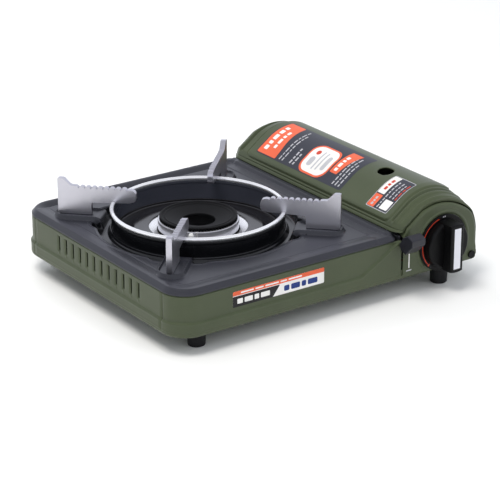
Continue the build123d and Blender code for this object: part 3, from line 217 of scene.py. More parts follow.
LABELS = {
    "dark": ink("dark", (50, 52, 62)),
    "edge": ink("edge", (34, 36, 48)),
    "orange": ink("orange", (226, 98, 62)),
    "white": ink("white", (234, 232, 230), 0.02),
    "grey": ink("grey", (184, 184, 190), 0.03),
    "black": ink("black", (22, 21, 24)),
    "red": ink("red", (196, 62, 40)),
    "blue": ink("blue", (24, 52, 120)),
}


# ---- mesh helpers ------------------------------------------------------------
def added(name, data):
    """Object of the scene that holds the data."""
    obj = bpy.data.objects.new(name, data)
    bpy.context.scene.collection.objects.link(obj)
    return obj


def piece(name, verts, faces, slot, body="base", replaces=(), sharp=35, look=None):
    """Mesh object from millimetre points, riding on a body."""
    data = bpy.data.meshes.new(name)
    data.from_pydata([metres(v) for v in verts], [], faces)
    data.validate()
    bm = bmesh.new()
    bm.from_mesh(data)
    bmesh.ops.remove_doubles(bm, verts=bm.verts, dist=1e-6)
    bmesh.ops.recalc_face_normals(bm, faces=bm.faces)
    bm.to_mesh(data)
    bm.free()
    data.shade_smooth()
    data.set_sharp_from_angle(angle=math.radians(sharp))
    obj = added(name, data)
    data.materials.append(look or M[slot])
    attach(obj, body)
    if replaces:
        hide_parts(*replaces)
    return obj


def grid(rows, wrap=False, keep=None):
    """Points and quads of rows of equal length. wrap closes each row; keep picks faces."""
    wide = len(rows[0])
    verts = [p for row in rows for p in row]
    faces = []
    for i in range(len(rows) - 1):
        for j in range(wide if wrap else wide - 1):
            k = (j + 1) % wide
            if keep is None or keep(i, j):
                faces.append((i * wide + j, i * wide + k, (i + 1) * wide + k, (i + 1) * wide + j))
    return verts, faces


def join(*parts):
    """One list of points and faces from several."""
    verts, faces = [], []
    for v, f in parts:
        faces += [tuple(k + len(verts) for k in face) for face in f]
        verts += v
    return verts, faces


def soften(points, radius, steps=4, closed=False):
    """Polyline with its corners rounded."""
    points = [Vector(p) for p in points]
    count = len(points)
    out = []
    for i, p in enumerate(points):
        if not closed and i in (0, count - 1):
            out.append(p)
            continue
        before, after = points[i - 1] - p, points[(i + 1) % count] - p
        reach = min(radius, before.length * 0.45, after.length * 0.45)
        a, b = p + before.normalized() * reach, p + after.normalized() * reach
        for s in range(steps + 1):
            t = s / steps
            out.append(a * (1 - t) ** 2 + p * 2 * t * (1 - t) + b * t * t)
    return out


def between(a, b, t):
    """Plane point at the share t of the way from a to b."""
    return a[0] + (b[0] - a[0]) * t, a[1] + (b[1] - a[1]) * t


def spaced(start, stop, step):
    """Values from start on, step apart, below stop."""
    out = []
    while start < stop:
        out.append(round(start, 3))
        start += step
    return out


def polar(radius, azimuth, centre=BURNER):
    """Plane point at a radius and an angle in degrees about the centre."""
    a = math.radians(azimuth)
    return centre[0] + radius * math.cos(a), centre[1] + radius * math.sin(a)


def ring(z, radii, centre=BURNER):
    """Points of a level ring, with one radius for each of its points."""
    turns = (2 * math.pi * k / len(radii) for k in range(len(radii)))
    return [(centre[0] + r * math.cos(a), centre[1] + r * math.sin(a), z)
            for r, a in zip(radii, turns)]


def lathe(profile, centre=BURNER, radius=0.5, segments=160):
    """Points and quads of a closed (radius, height) outline turned about an upright axis."""
    line = soften(profile, radius, 3, closed=True)
    return grid([ring(z, [r] * segments, centre) for r, z in line + line[:1]], wrap=True)


def slab(near, far):
    """Closed solid between two outlines of as many points."""
    count = len(near)
    faces = [tuple(range(count))[::-1], tuple(range(count, 2 * count))]
    faces += [(k, (k + 1) % count, count + (k + 1) % count, count + k) for k in range(count)]
    return near + far, faces


def prism(outline, y0, y1):
    """Closed slab of an (x, z) outline between two depths."""
    return slab([(x, y0, z) for x, z in outline], [(x, y1, z) for x, z in outline])


def thicken(obj):
    """Sheet thickness, added inwards."""
    mod = obj.modifiers.new("Sheet", "SOLIDIFY")
    mod.thickness = SHEET_T / 1000
    mod.offset = -1.0
    mod.use_even_offset = False


def bevel(obj, width, angle):
    """Rounded edges, where faces meet at more than the angle in degrees."""
    mod = obj.modifiers.new("Bevel", "BEVEL")
    mod.width = width / 1000
    mod.segments = 3
    mod.limit_method = "ANGLE"
    mod.angle_limit = math.radians(angle)
    mod.harden_normals = False


# ---- burner and its surroundings ---------------------------------------------
# Outlines are (radius, height) about the burner's axis.
DRUM_LINE = [(74, 35.4), (92, 35.4), (92, 36.4), (83, 36.4), (83, 55.6), (83.4, 56.2),
             (83.4, 58.7), (81.6, 58.7), (81.6, 56.2), (82, 55.6), (82, 36.4), (74, 36.4)]
PAN_LINE = [(81.4, 36.4), (66, 36.4), (61.7, 42.7), (47.4, 42.7), (47.4, 43.5), (62.3, 43.5),
            (66.8, 37.2), (80.6, 37.2), (80.6, 39.9), (81.4, 39.9)]
BOWL_LINE = [(39.5, 40.4), (40.3, 39.7), (50.8, 41.9), (53.5, 41.9), (53.5, 42.7), (50, 42.7)]
BAND_LINE = [(37.8, 41.6), (39, 41.6), (39, 50.7), (33.5, 50.7), (33.5, 49.5), (37.8, 49.5)]
CERAMIC_LINE = [(0.8, 30), (2.5, 30), (2.5, 32), (3, 35), (3, 38), (2.5, 38), (2.5, 49.8),
                (1.5, 51.6), (0.8, 51.6)]
DECK_Z = 38.0
AXIS = metres((*BURNER, 0))

v, f = lathe(DRUM_LINE, segments=200)
drum = piece("wind_shield_drum", v, f, "black_enamel", replaces=["wind_shield"])
drum.data.materials.append(INSIDE_REFLECTION)
# Inner faces above the deck take the lighter enamel, as painted reflection.
for face in drum.data.polygons:
    away = face.center - AXIS
    inward = away.x * face.normal.x + away.y * face.normal.y < 0
    if inward and face.center.z > metres((0, 0, DECK_Z)).z:
        face.material_index = 1

v, f = lathe(PAN_LINE, radius=1.4, segments=200)
piece("drip_pan_pressing", v, f, "pan_enamel", replaces=["drip_pan"])

v, f = lathe(BOWL_LINE)
piece("reflector_bowl", v, f, "bright_steel", replaces=["reflector_cone"], look=MIRROR)

v, f = lathe(BAND_LINE, radius=0.7)
piece("burner_band", v, f, "bright_steel", replaces=["burner_skirt"], look=BAND)


def burner_cap():
    """Black cap: beaded rim, conical dish, and a comb of ports under the rim."""
    ports, per_port = 76, 4
    segments = ports * per_port
    rim_r, port_r, rim_z, comb_z = 37.5, 33.6, 52.9, 50.7
    profile = soften([(16.2, 47), (16.2, 49), (17.4, 49.2), (31.0, 52.7), (32.2, 53.8),
                      (33.2, 53.0), (34.4, 53.1), (35.4, 54.4), (36.8, 54.4), (rim_r, 53.9),
                      (rim_r, rim_z)], 0.5, 3)
    rows = [ring(z, [r] * segments) for r, z in profile]
    comb = [rim_r if k % per_port < 2 else port_r for k in range(segments)]
    rows += [ring(rim_z, comb), ring(comb_z, comb)]
    rows += [ring(z, [r] * segments) for r, z in ((33, comb_z), (17.5, 47), (16.2, 47))]
    return grid(rows, wrap=True)


v, f = burner_cap()
piece("burner_head", v, f, "burner_black", body="burner_cap", replaces=["burner_cap"], sharp=40)

v, f = lathe(CERAMIC_LINE, centre=polar(44, 227), radius=0.4, segments=32)
piece("igniter_ceramic", v, f, "ceramic", replaces=["igniter_electrode"])


# ---- pan support -------------------------------------------------------------
RING_R, RING_Z, WIRE_R = 82.5, 61.0, 2.0
ARM_HALF_T = 2.75
TOOTH_CREST_Z = 76.3
TOOTH = ((0.0, 2.5), (0.1, 1.5), (0.24, 0.5), (0.4, 0.05), (0.6, 0.0), (0.78, 0.3), (0.9, 1.1))


def wire_ring():
    """Round wire bent into a ring."""
    around, across = 240, 20
    rows = []
    for k in range(across + 1):
        b = 2 * math.pi * (k % across) / across
        rows.append(ring(RING_Z + WIRE_R * math.sin(b), [RING_R + WIRE_R * math.cos(b)] * around))
    return grid(rows, wrap=True)


v, f = wire_ring()
piece("pan_ring", v, f, "chrome_wire", body="trivet", replaces=["trivet_ring"])


def arm_outline():
    """Side view of a pan support arm in (radius, height)."""
    tip = soften([(66, 61.8), (61.5, 63.4), (60, 66), (60.2, 71.2), (62, 74.2), (66, 75.3),
                  (69, 74.6)], 2.0)
    line = [(p.x, p.y) for p in tip]
    first, last, teeth = 69.0, 116.0, 8
    pitch = (last - first) / teeth
    for k in range(teeth):
        start = first + k * pitch
        line += [(start + share * pitch, TOOTH_CREST_Z - drop) for share, drop in TOOTH]
    line += [(116.3, 74.2), (117.4, 75.8), (118.6, 76.3), (123.4, 76.5), (125, 77.2)]
    line += [(130.2, 82.6), (131.4, 83.4), (132.2, 83.5), (135.6, 83.5), (136.8, 83.0), (137, 82)]
    line += [(137, 49.6), (135.4, 48.1), (104.3, 48.1), (104, 48.4), (104, 59.6), (103, 60.2),
             (84.9, 60.9)]
    line += [polar(WIRE_R + 0.2, 22.5 * k, (RING_R, RING_Z)) for k in range(9)]
    return line + [(80.2, 61.2)]


def arm(azimuth):
    """Folded sheet arm: two walls and a rounded, toothed fold at the top."""
    along = Vector((*polar(1, azimuth, (0, 0)), 0))
    side = Vector((-along.y, along.x, 0)) * ARM_HALF_T
    middle = [Vector((*BURNER, z)) + along * r for r, z in arm_outline()]
    return slab([p - side for p in middle], [p + side for p in middle])


for index, name in enumerate(["right_rear", "left_rear", "left_front", "right_front"]):
    v, f = arm(45 + 90 * index)
    bevel(piece("pan_arm_" + name, v, f, "stainless", body="trivet",
                replaces=["trivet_arm_" + name], sharp=50), 0.9, 50)


# ---- top plate ---------------------------------------------------------------
PLATE_X = (1.5, 251.0)
PLATE_Y = (1.5, 275.5)
PLATE_CORNERS = (25.0, 8.0)
RIM_LOW, CREST, FIELD = 42.4, 46.5, 45.5
EDGE_FOLD_Z = (41.4, 40.9)
DISH_R = 99.0
PAD_Z = 48.2
PAD_HALF, PAD_END = 12.5, 140.0
# The collar is the plate's raised edge round the drum.
COLLAR_R, COLLAR_Z = 87.0, 41.0
COLLAR_TOP_R, COLLAR_TOP_Z = 85.0, 43.6
COLLAR_FOOT_Z = 36.4
# The rib and the channel run beside the lid, at these distances from the plate's right edge.
RIB, RIB_H = (2.6, 8.4), 1.9
CHANNEL, CHANNEL_H = (11.2, 20.6), 1.0
# Within these the plate takes the drum's darker black enamel as painted shade: on the collar, and
# low down in the dish.
COLLAR_SHADE_R, DISH_SHADE_R, DISH_SHADE_Z = 87.4, 112.0, 44.2


def rounded_inside(dx, dy, r):
    """Distance inside a rounded rectangle, from how far a point is past a corner's centre."""
    if dx > 0 and dy > 0:
        return r - math.hypot(dx, dy)
    return r - max(dx, dy)


def outline_distance(x, y):
    """How far a plan point lies inside the plate's outline."""
    left = x < (PLATE_X[0] + PLATE_X[1]) / 2
    front = y < CASING_D / 2
    r = PLATE_CORNERS[0] if left else PLATE_CORNERS[1]
    dx = PLATE_X[0] + r - x if left else x - PLATE_X[1] + r
    dy = PLATE_Y[0] + r - y if front else y - PLATE_Y[1] + r
    return rounded_inside(dx, dy, r)


def band(value, low, high, soft):
    """1 between low and high, falling to 0 over soft on each side."""
    return smooth((value - low + soft) / soft) * smooth((high + soft - value) / soft)


def bead(offset, half, soft):
    """1 in a bead's middle, falling to 0 at half its width."""
    return smooth((half - abs(offset)) / soft)


def plate_height(x, y):
    """Height of the pressed plate: rim, border, field, rib and channel, dish, pads, collar."""
    inside = outline_distance(x, y)
    dx, dy = x - BURNER[0], y - BURNER[1]
    r = math.hypot(dx, dy)
    turn = math.radians(math.degrees(math.atan2(dy, dx)) % 90 - 45)
    reach, cross = r * math.cos(turn), abs(r * math.sin(turn))
    right = PLATE_X[1] - x
    # rim and field, with a crease along the border and a step down at the back
    z = RIM_LOW + (CREST - RIM_LOW) * smooth((inside + 0.3) / 4.6) ** 0.8
    beside_lid = smooth((24 - right) / 2)
    z -= (CREST - FIELD) * smooth((inside - 6) / 11) * (1 - beside_lid) + 0.4 * beside_lid
    z -= 0.25 * band(inside, 17.2, 17.6, 0.7) * (1 - beside_lid)
    z -= 3.0 * smooth((18.6 - PLATE_Y[1] + y) / 1.6) * smooth((inside - 4) / 13)
    z += RIB_H * band(right, *RIB, 2.2) * band(y, 12, CASING_D - 12, 5)
    z -= CHANNEL_H * band(right, *CHANNEL, 1.0) * band(y, 21, CASING_D - 21, 2)
    # dish, which is wider beside the pads, and its bead
    petal = 5.0 * band(cross, 17, 22, 9) * smooth((reach - 60) / 20)
    z += (DECK_Z - z) * smooth((DISH_R - 1.0 + petal - r) / 5.0)
    z += 0.45 * bead(r - DISH_R - petal - 0.8, 1.3, 1.3)
    # pads under the arms, each with a raised lip
    round_end = math.hypot(cross, max(0.0, reach - PAD_END + PAD_HALF))
    pad = smooth((PAD_HALF + 1.6 - round_end) / 2.2) * smooth((reach - 89) / 5)
    z += (PAD_Z - z) * pad
    lip = band(round_end, PAD_HALF - 0.9, PAD_HALF - 0.3, 0.8) * band(reach, 98, 150, 5)
    z += 1.3 * lip - 0.6 * pad * (1 - lip) * smooth((reach - 96) / 6)
    # collar
    z += (COLLAR_Z - z) * smooth((COLLAR_R - r) / 2.2)
    return z + (COLLAR_TOP_Z - z) * smooth((COLLAR_TOP_R - r) / 0.8)


def reach_of(angle, inset):
    """Distance from the burner to the line that runs inset inside the plate's outline."""
    c, s = math.cos(angle), math.sin(angle)
    low, high = 60.0, 240.0
    for _ in range(30):
        mid = (low + high) / 2
        within = outline_distance(BURNER[0] + mid * c, BURNER[1] + mid * s) > inset
        low, high = (mid, high) if within else (low, mid)
    return low


def spoke_angles():
    """Directions of the plate's mesh lines, close together over the pads."""
    step = 0.5
    out = []
    for quarter in (0.0, 90.0, 180.0, 270.0):
        degree = quarter
        while degree < quarter + 89.99:
            out.append(math.radians(degree))
            over_pad = abs(degree % 90 - 45) < 14
            degree += step / 2 if over_pad else step
    return out


def top_plate():
    """Pressed plate: rings round the drum that morph into rings along the plate's outline."""
    inner = [83.7 + 0.25 * k for k in range(20)] + [89 + 0.6 * k for k in range(20)]
    insets = [24 - 0.5 * k for k in range(34)] + [6.5 - 0.4 * k for k in range(16)] + [0.15, 0.0]
    morphing, least_step = 44, 0.02
    first = inner[-1]
    floor = first + least_step * (morphing + 1)
    spokes = []
    for angle in spoke_angles():
        outer = [max(reach_of(angle, inset), floor + least_step * k)
                 for k, inset in enumerate(insets)]
        bridge = [first + (outer[0] - first) * k / (morphing + 1) for k in range(1, morphing + 1)]
        c, s = math.cos(angle), math.sin(angle)
        spokes.append([(BURNER[0] + r * c, BURNER[1] + r * s) for r in inner + bridge + outer])
    rows = [[(x, y, plate_height(x, y)) for x, y in level] for level in zip(*spokes)]
    rows.insert(0, [(x, y, COLLAR_FOOT_Z) for x, y, _ in rows[0]])
    rows += [[(x, y, z) for x, y, _ in rows[-1]] for z in EDGE_FOLD_Z]
    return grid(rows, wrap=True)


v, f = top_plate()
plate = piece("top_plate_pressing", v, f, "black_enamel", replaces=["top_plate"], sharp=60,
              look=PLATE)
plate.data.materials.append(M["black_enamel"])
# Painted shade: faces on the collar and low in the dish take the darker enamel.
for face in plate.data.polygons:
    away = (face.center - AXIS).xy.length
    low = face.center.z < metres((0, 0, DISH_SHADE_Z)).z
    if away < COLLAR_SHADE_R / 1000 or (low and away < DISH_SHADE_R / 1000):
        face.material_index = 1


# ---- casing walls ------------------------------------------------------------
CORNER_R = 26.0
WALL_Z = (4.6, 40.4)
NECK_Z = 39.2
FRONT_END_X, REAR_END_X = 254.0, 255.9
SEAM = 0.3
# The ridge runs round the casing; from RIDGE_TURN on it climbs to the lever's slot.
RIDGE_Z, RIDGE_TURN, RIDGE_CLIMB = 14.6, 207.0, 0.56


def wall_rows(path, levels, push):
    """Rows of a wall: path holds (x, y, outward normal); push(x, y, z) draws it in."""
    rows = []
    for z in levels:
        row = []
        for x, y, nx, ny in path:
            d = push(x, y, z)
            row.append((x - nx * d, y - ny * d, z))
        rows.append(row)
    return rows


def corner_path(cy, start, end):
    """Left corner's arc about the depth cy, from start to end degrees."""
    steps = 24
    out = []
    for k in range(steps + 1):
        nx, ny = polar(1, start + (end - start) * k / steps, (0, 0))
        out.append((CORNER_R + CORNER_R * nx, cy + CORNER_R * ny, nx, ny))
    return out


def straight_path(end, steps, y, ny):
    """Straight part of a long wall, from the left corner to x = end."""
    return [(CORNER_R + k * (end - CORNER_R) / steps, y, 0.0, ny) for k in range(1, steps + 1)]


def drawn_in(z, line=RIDGE_Z):
    """How far a wall is drawn in: above the ridge at the height line, and under the plate."""
    depth = 1.75 * smooth((z - line + 0.9) / 1.9) - 0.25 * bead(z - line + 1.3, 1.6, 1.6)
    return depth + smooth((z - NECK_Z) / 1.4)


def front_push(x, _, z):
    """Front wall, whose ridge climbs on the right."""
    return drawn_in(z, RIDGE_Z + max(0.0, x - RIDGE_TURN) * RIDGE_CLIMB)


def wall_levels(marks):
    """Heights of a wall's rows, close together near the marks."""
    low, high = WALL_Z
    near = {round(m + k * 0.25, 3) for m in marks for k in range(-8, 9)}
    return sorted({high, *spaced(low, high, 0.9), *(z for z in near if low < z < high)})


levels = wall_levels((RIDGE_Z, 39.8))
front_levels = wall_levels([RIDGE_Z + k for k in range(0, 27, 2)])
front = [(0.0, CORNER_R - SEAM, -1.0, 0.0)] + corner_path(CORNER_R, 180, 270)[1:]
front += straight_path(FRONT_END_X, 152, 0.0, -1.0)
v, f = grid(wall_rows(front, front_levels, front_push))
thicken(piece("front_panel_sheet", v, f, "green_enamel", replaces=["front_panel"]))

rear = [(0.0, CASING_D - CORNER_R + SEAM, -1.0, 0.0)]
rear += corner_path(CASING_D - CORNER_R, 180, 90)[1:]
rear += straight_path(REAR_END_X, 80, CASING_D, 1.0)
v, f = grid(wall_rows(rear, levels, lambda _x, _y, z: drawn_in(z)))
thicken(piece("rear_panel_sheet", v, f, "green_enamel", replaces=["rear_panel"]))

LOUVRE_Y = [66.5 + 12.76 * k for k in range(12)]
LOUVRE_Z = (21.0, 35.5)
LOUVRE_HALF = 1.1
DIMPLE_Z = 18.6


def to_louvre(y):
    """Distance along the side panel to the nearest louvre's middle."""
    return min(abs(y - c) for c in LOUVRE_Y)


def side_columns():
    """Depth of each column of the side panel, close together round the louvres."""
    first, last = CORNER_R, CASING_D - CORNER_R
    out = {first, last}
    for y in LOUVRE_Y:
        for d in (0.0, LOUVRE_HALF, 1.35, 1.7, 2.2, 3.0):
            out.update((round(y - d, 3), round(y + d, 3)))
    for k in range(1, 40):
        y = first + k * 5.8
        if y < last and to_louvre(y) > 3.3:
            out.add(round(y, 3))
    return sorted(out)


def side_push(_, y, z):
    """Side wall, with a pressed lip round each louvre and a dimple under it."""
    near = to_louvre(y)
    dz = max(0.0, LOUVRE_Z[0] - z, z - LOUVRE_Z[1])
    lip = 0.75 * bead(math.hypot(max(0.0, near - LOUVRE_HALF), dz), 1.6, 1.6)
    dimple = 0.315 * bead(math.hypot(near, z - DIMPLE_Z), 2.2, 1.6)
    return drawn_in(z) + lip - dimple


side_levels = sorted({*levels, *LOUVRE_Z, DIMPLE_Z, 20.7, 20.3, 19.8, 19.2, 18.0, 17.4, 16.8,
                      35.8, 36.2, 36.8})
columns = side_columns()


def side_metal(i, j):
    """Whether a face of the side panel is metal, not a louvre's slot."""
    z = (side_levels[i] + side_levels[i + 1]) / 2
    y = (columns[j] + columns[j + 1]) / 2
    return not (LOUVRE_Z[0] < z < LOUVRE_Z[1] and to_louvre(y) < LOUVRE_HALF)


side = wall_rows([(0.0, y, -1.0, 0.0) for y in columns], side_levels, side_push)
v, f = grid(side, keep=side_metal)
thicken(piece("side_panel_sheet", v, f, "green_enamel", replaces=["side_panel"]))


# ---- canister lid ------------------------------------------------------------
# In section the lid rises from its foot to a bend, climbs to the arch and falls on the right.
ARCH_R, ARCH = 47.0, (301.0, 32.5)
SLOPE = 126
LID_FOOT = (249.5, 47.1)
BEND_X = 253.6
LID_LOW_Z = 10.5
STRAIGHT = 0.66
FOOT_STEPS, BEND_STEPS, SLOPE_STEPS = 20, 8, 24
LID_GAP = 2.5
TOP_ROLL, LEFT_ROLL = 8.5, 5.0
LIP_INSET, LIP_DEEP = 3.0, 0.25
PEEP = (293.5, 75.0)
PEEP_R, PEEP_HALF, PEEP_SNAP = 7.5, 1.5, 0.45
HINGE = (341, 6.5)
EAR_T = 1.0
# The raised panel: its span along the section, its depths, its corners and its height.
PANEL_U, PANEL_Y, PANEL_R, PANEL_LIFT = (-27.5, 62.0), (19.5, 251.5), 7.0, 0.9
# Beads across the lid's ends: height, distance from the casing's end, half width, soft edge.
END_BEADS = ((-1.7, 14.6, 2.1, 1.2), (0.8, 10.8, 2.4, 1.7), (0.6, 4.8, 1.9, 1.4))


def meet(pa, da, pb, db):
    """Where two lines cross, each from a point and a direction."""
    cross = da[0] * db[1] - da[1] * db[0]
    dx, dz = pb[0] - pa[0], pb[1] - pa[1]
    t = (dx * db[1] - dz * db[0]) / cross
    return pa[0] + t * da[0], pa[1] + t * da[1]


def arc_through(a, b, c, count):
    """Points clockwise from a up to c, without c, on the circle through b."""
    ax, az, bx, bz, cx, cz = *a, *b, *c
    d = 2 * (ax * (bz - cz) + bx * (cz - az) + cx * (az - bz))
    ux = ((ax * ax + az * az) * (bz - cz) + (bx * bx + bz * bz) * (cz - az)
          + (cx * cx + cz * cz) * (az - bz)) / d
    uz = ((ax * ax + az * az) * (cx - bx) + (bx * bx + bz * bz) * (ax - cx)
          + (cx * cx + cz * cz) * (bx - ax)) / d
    r = math.hypot(ax - ux, az - uz)
    t0 = math.atan2(az - uz, ax - ux)
    t1 = math.atan2(cz - uz, cx - ux)
    if t1 > t0:
        t1 -= 2 * math.pi
    turns = [t0 + (t1 - t0) * k / count for k in range(count)]
    return [(ux + r * math.cos(t), uz + r * math.sin(t)) for t in turns]


def arch_line(inset, top_roll, left_roll):
    """Lid outline in (x, z) from its left edge over the arch to its right edge.

    inset moves all of it in; the rolls draw in the arch's top and the slope.
    """
    slope = polar(1, SLOPE + 90, (0, 0))
    bend = meet(polar(ARCH_R, SLOPE, ARCH), slope, (BEND_X, 0), (0, 1))
    rise = (bend[0] - LID_FOOT[0], bend[1] - LID_FOOT[1])
    share = (inset + left_roll) / math.hypot(*rise)
    edge = (bend[0] + share * rise[1], bend[1] - share * rise[0])
    drops = (left_roll, 0.9 * top_roll, 0.2 * top_roll, 0.1 * top_roll, 0)
    arc = [polar(ARCH_R - inset - drop, SLOPE * turn, ARCH)
           for drop, turn in zip(drops, (1, 0.6, 0.2, 0.1, 0))]
    shoulder = meet(arc[0], slope, edge, rise)
    foot = meet(edge, rise, (0, LID_FOOT[1]), (1, 0))
    line = [between(foot, shoulder, STRAIGHT * k / FOOT_STEPS) for k in range(FOOT_STEPS)]
    bent = soften([between(foot, shoulder, STRAIGHT), shoulder,
                   between(shoulder, arc[0], 0.25)], 3.4, BEND_STEPS)
    line += [(p.x, p.y) for p in bent[:-1]]
    line += [between(bent[-1], arc[0], k / SLOPE_STEPS) for k in range(SLOPE_STEPS)]
    line += arc_through(*arc[:3], 72) + arc_through(*arc[2:], 14)
    return line + [between(arc[4], (arc[4][0], LID_LOW_Z), k / 9) for k in range(10)]


# Length along the full section up to each of its points, and up to the arch.
FULL = arch_line(0, 0, 0)
RUN = [0.0]
for a, b in zip(FULL, FULL[1:]):
    RUN.append(RUN[-1] + math.dist(a, b))
SLOPE_RUN = RUN[FOOT_STEPS + BEND_STEPS + 2 + SLOPE_STEPS]


def panel_edge(y, u):
    """How far a point lies inside the raised panel; u is the run past the arch's start."""
    dx = max(PANEL_U[0] + PANEL_R - u, u - PANEL_U[1] + PANEL_R)
    dy = max(PANEL_Y[0] + PANEL_R - y, y - PANEL_Y[1] + PANEL_R)
    return rounded_inside(dx, dy, PANEL_R)


def emboss(y, u):
    """Relief of the lid's outer face: panel, groove round it, crease on the foot, end beads."""
    inside = panel_edge(y, u)
    out = PANEL_LIFT * smooth((inside + 0.2) / 1.4)
    out -= 0.45 * bead(inside + 0.9, 1.0, 1.0)
    out -= 0.55 * bead(u + SLOPE_RUN - 3.2, 1.0, 0.8)
    along = smooth((u + 26.5) / 4) * smooth((70 - u) / 4)
    for end in (y, CASING_D - y):
        for height, place, half, soft in END_BEADS:
            out += height * along * bead(end - place, half, soft)
    return out


def lid_depths():
    """Depths of the lid's sections, close together at its ends and round the peep hole."""
    ends = spaced(LID_GAP, 30, 0.36)
    out = {*ends, *(round(CASING_D - d, 3) for d in ends)}
    out |= {*spaced(30.0, CASING_D / 2, 3.0), *spaced(CASING_D / 2, CASING_D - 30, 3.0)}
    out |= {round(63 + k * 0.62, 3) for k in range(40)}
    return sorted(out)


def end_arch(inset):
    """Arch inside the lid's end that comes back to the full width on the right."""
    return [(x + 2.9 * smooth((x - 318) / 24), z)
            for x, z in arch_line(inset, TOP_ROLL, LEFT_ROLL)]


def lid_rolls(y):
    """How far the end sections are drawn in: at the top, and on the slope."""
    along = min(y - LID_GAP, CASING_D - LID_GAP - y)
    top = TOP_ROLL * max(0.0, 1 - along / 25.0) ** 1.5
    left = LEFT_ROLL * max(0.0, 1 - along / 10.0) ** 1.5
    return top, left


def in_peep(x, y, grow=0.0):
    """Inside the oval hole, which is a slot along the depth."""
    dy = max(0.0, abs(y - PEEP[1]) - PEEP_HALF)
    return math.hypot(x - PEEP[0], dy) < PEEP_R + grow


def lid_rows():
    """Points of the lid's outer face with its relief, after those of its in-turned front edge."""
    depths = lid_depths()
    rows = [[[x, depths[0] - LIP_DEEP, z] for x, z in end_arch(LIP_INSET)]]
    for y in depths:
        line = arch_line(0, *lid_rolls(y))
        row = []
        for k, (x, z) in enumerate(line):
            a, b = line[max(0, k - 1)], line[min(len(line) - 1, k + 1)]
            lift = emboss(y, RUN[k] - SLOPE_RUN) / math.dist(a, b)
            row.append([x + (a[1] - b[1]) * lift, y, z + (b[0] - a[0]) * lift])
        rows.append(row)
    return rows


def lid_sheet():
    """Lid with its peep hole, to whose rim the nearest points are moved."""
    rows = lid_rows()
    for p in (p for row in rows for p in row):
        if in_peep(p[0], p[1], PEEP_SNAP) and not in_peep(p[0], p[1], -PEEP_SNAP):
            cy = PEEP[1] + max(-PEEP_HALF, min(PEEP_HALF, p[1] - PEEP[1]))
            d = Vector((p[0] - PEEP[0], p[1] - cy)).normalized() * PEEP_R
            p[0], p[1] = PEEP[0] + d.x, cy + d.y

    def metal(i, j):
        """Whether a face is metal, not the hole."""
        corners = (rows[i][j], rows[i][j + 1], rows[i + 1][j], rows[i + 1][j + 1])
        return not in_peep(*(sum(p[axis] for p in corners) / 4 for axis in (0, 1)))

    return grid(rows, keep=metal)


v, f = lid_sheet()
thicken(piece("canister_lid_sheet", v, f, "green_enamel", body="lid", replaces=["canister_lid"],
              sharp=50))

for name, y in (("front", LID_GAP), ("rear", CASING_D - LID_GAP - EAR_T)):
    ear = [(339, 38), (339, 11.1)] + [polar(5, 114 + 246 * k / 16, HINGE) for k in range(17)]
    ear += [(346, 10.5), (347, 10.5), (347, 38)]
    v, f = prism(ear, y, y + EAR_T)
    piece("lid_ear_" + name, v, f, "green_enamel", body="lid")


# ---- stick-on labels: plain blocks and bars, no lettering --------------------
FILM_T, MARK_T = 0.05, 0.06
FRONT_FILM_Y, LEVER_MARK_Y, DIAL_MARK_Y = 1.66, -0.08, -2.07


def lid_point(y, u, lift):
    """Point lift above the lid's raised panel."""
    run = u + SLOPE_RUN
    k = min(max(bisect(RUN, run), 1), len(RUN) - 1)
    a, b = FULL[k - 1], FULL[k]
    length = RUN[k] - RUN[k - 1]
    x, z = between(a, b, (run - RUN[k - 1]) / length)
    lift = (lift + PANEL_LIFT) / length
    return x - (b[1] - a[1]) * lift, y, z + (b[0] - a[0]) * lift


def rounded_box(y0, y1, u0, u1, r):
    """Spans of a rounded rectangle: (u, lowest y, highest y) from u0 to u1."""
    count = max(2, int((u1 - u0) / 1.1))
    rounding = [r * (1 - math.cos(math.pi * k / 12)) for k in range(7)]
    steps = {u0 + (u1 - u0) * k / count for k in range(count + 1)}
    steps |= {u0 + d for d in rounding} | {u1 - d for d in rounding}
    out = []
    for u in sorted(steps):
        d = max(0.0, u0 + r - u, u - u1 + r)
        cut = r - math.sqrt(max(0.0, r * r - d * d))
        out.append((u, y0 + cut, y1 - cut))
    return out


def slanted(spans, slant):
    """Spans whose low side leans: slant mm over their whole height."""
    u0, u1 = spans[0][0], spans[-1][0]
    return [(u, lo + slant * (u - u0) / (u1 - u0), hi) for u, lo, hi in spans]


def film(spans, lift):
    """Film on the lid from spans."""
    across = 6
    return grid([[lid_point(lo + (hi - lo) * k / across, u, lift) for k in range(across + 1)]
                 for u, lo, hi in spans])


def bars(y0, y1, places, lift, r=0.3):
    """Row of small bars between y0 and y1; places holds (start, end) along the row."""
    return join(*[film(rounded_box(y0, y1, a, b, r), lift) for a, b in places])


def bar_row(start, end, sizes, gap):
    """Places of bars of the given lengths, again and again from start to end."""
    out, k = [], 0
    while start + sizes[k % len(sizes)] <= end:
        stop = start + sizes[k % len(sizes)]
        out.append((start, stop))
        start = stop + gap
        k += 1
    return out


def bar_rows(rows, lift=0.18):
    """Several rows of bars, each from (y0, y1, start, end, lengths, gap)."""
    return join(*[bars(y0, y1, bar_row(*rest), lift) for y0, y1, *rest in rows])


def lid_film(name, shape, colour, slot="black_plastic"):
    """Label layer that rides on the lid."""
    v, f = shape
    piece("label_" + name, v, f, slot, body="lid", look=LABELS[colour], sharp=60)


def lid_block(name, box, lift, colour, slot="black_plastic", slant=0.0):
    """Plain block; box holds its depths, its span up the section and its corners' radius."""
    lid_film(name, film(slanted(rounded_box(*box), slant), lift), colour, slot)


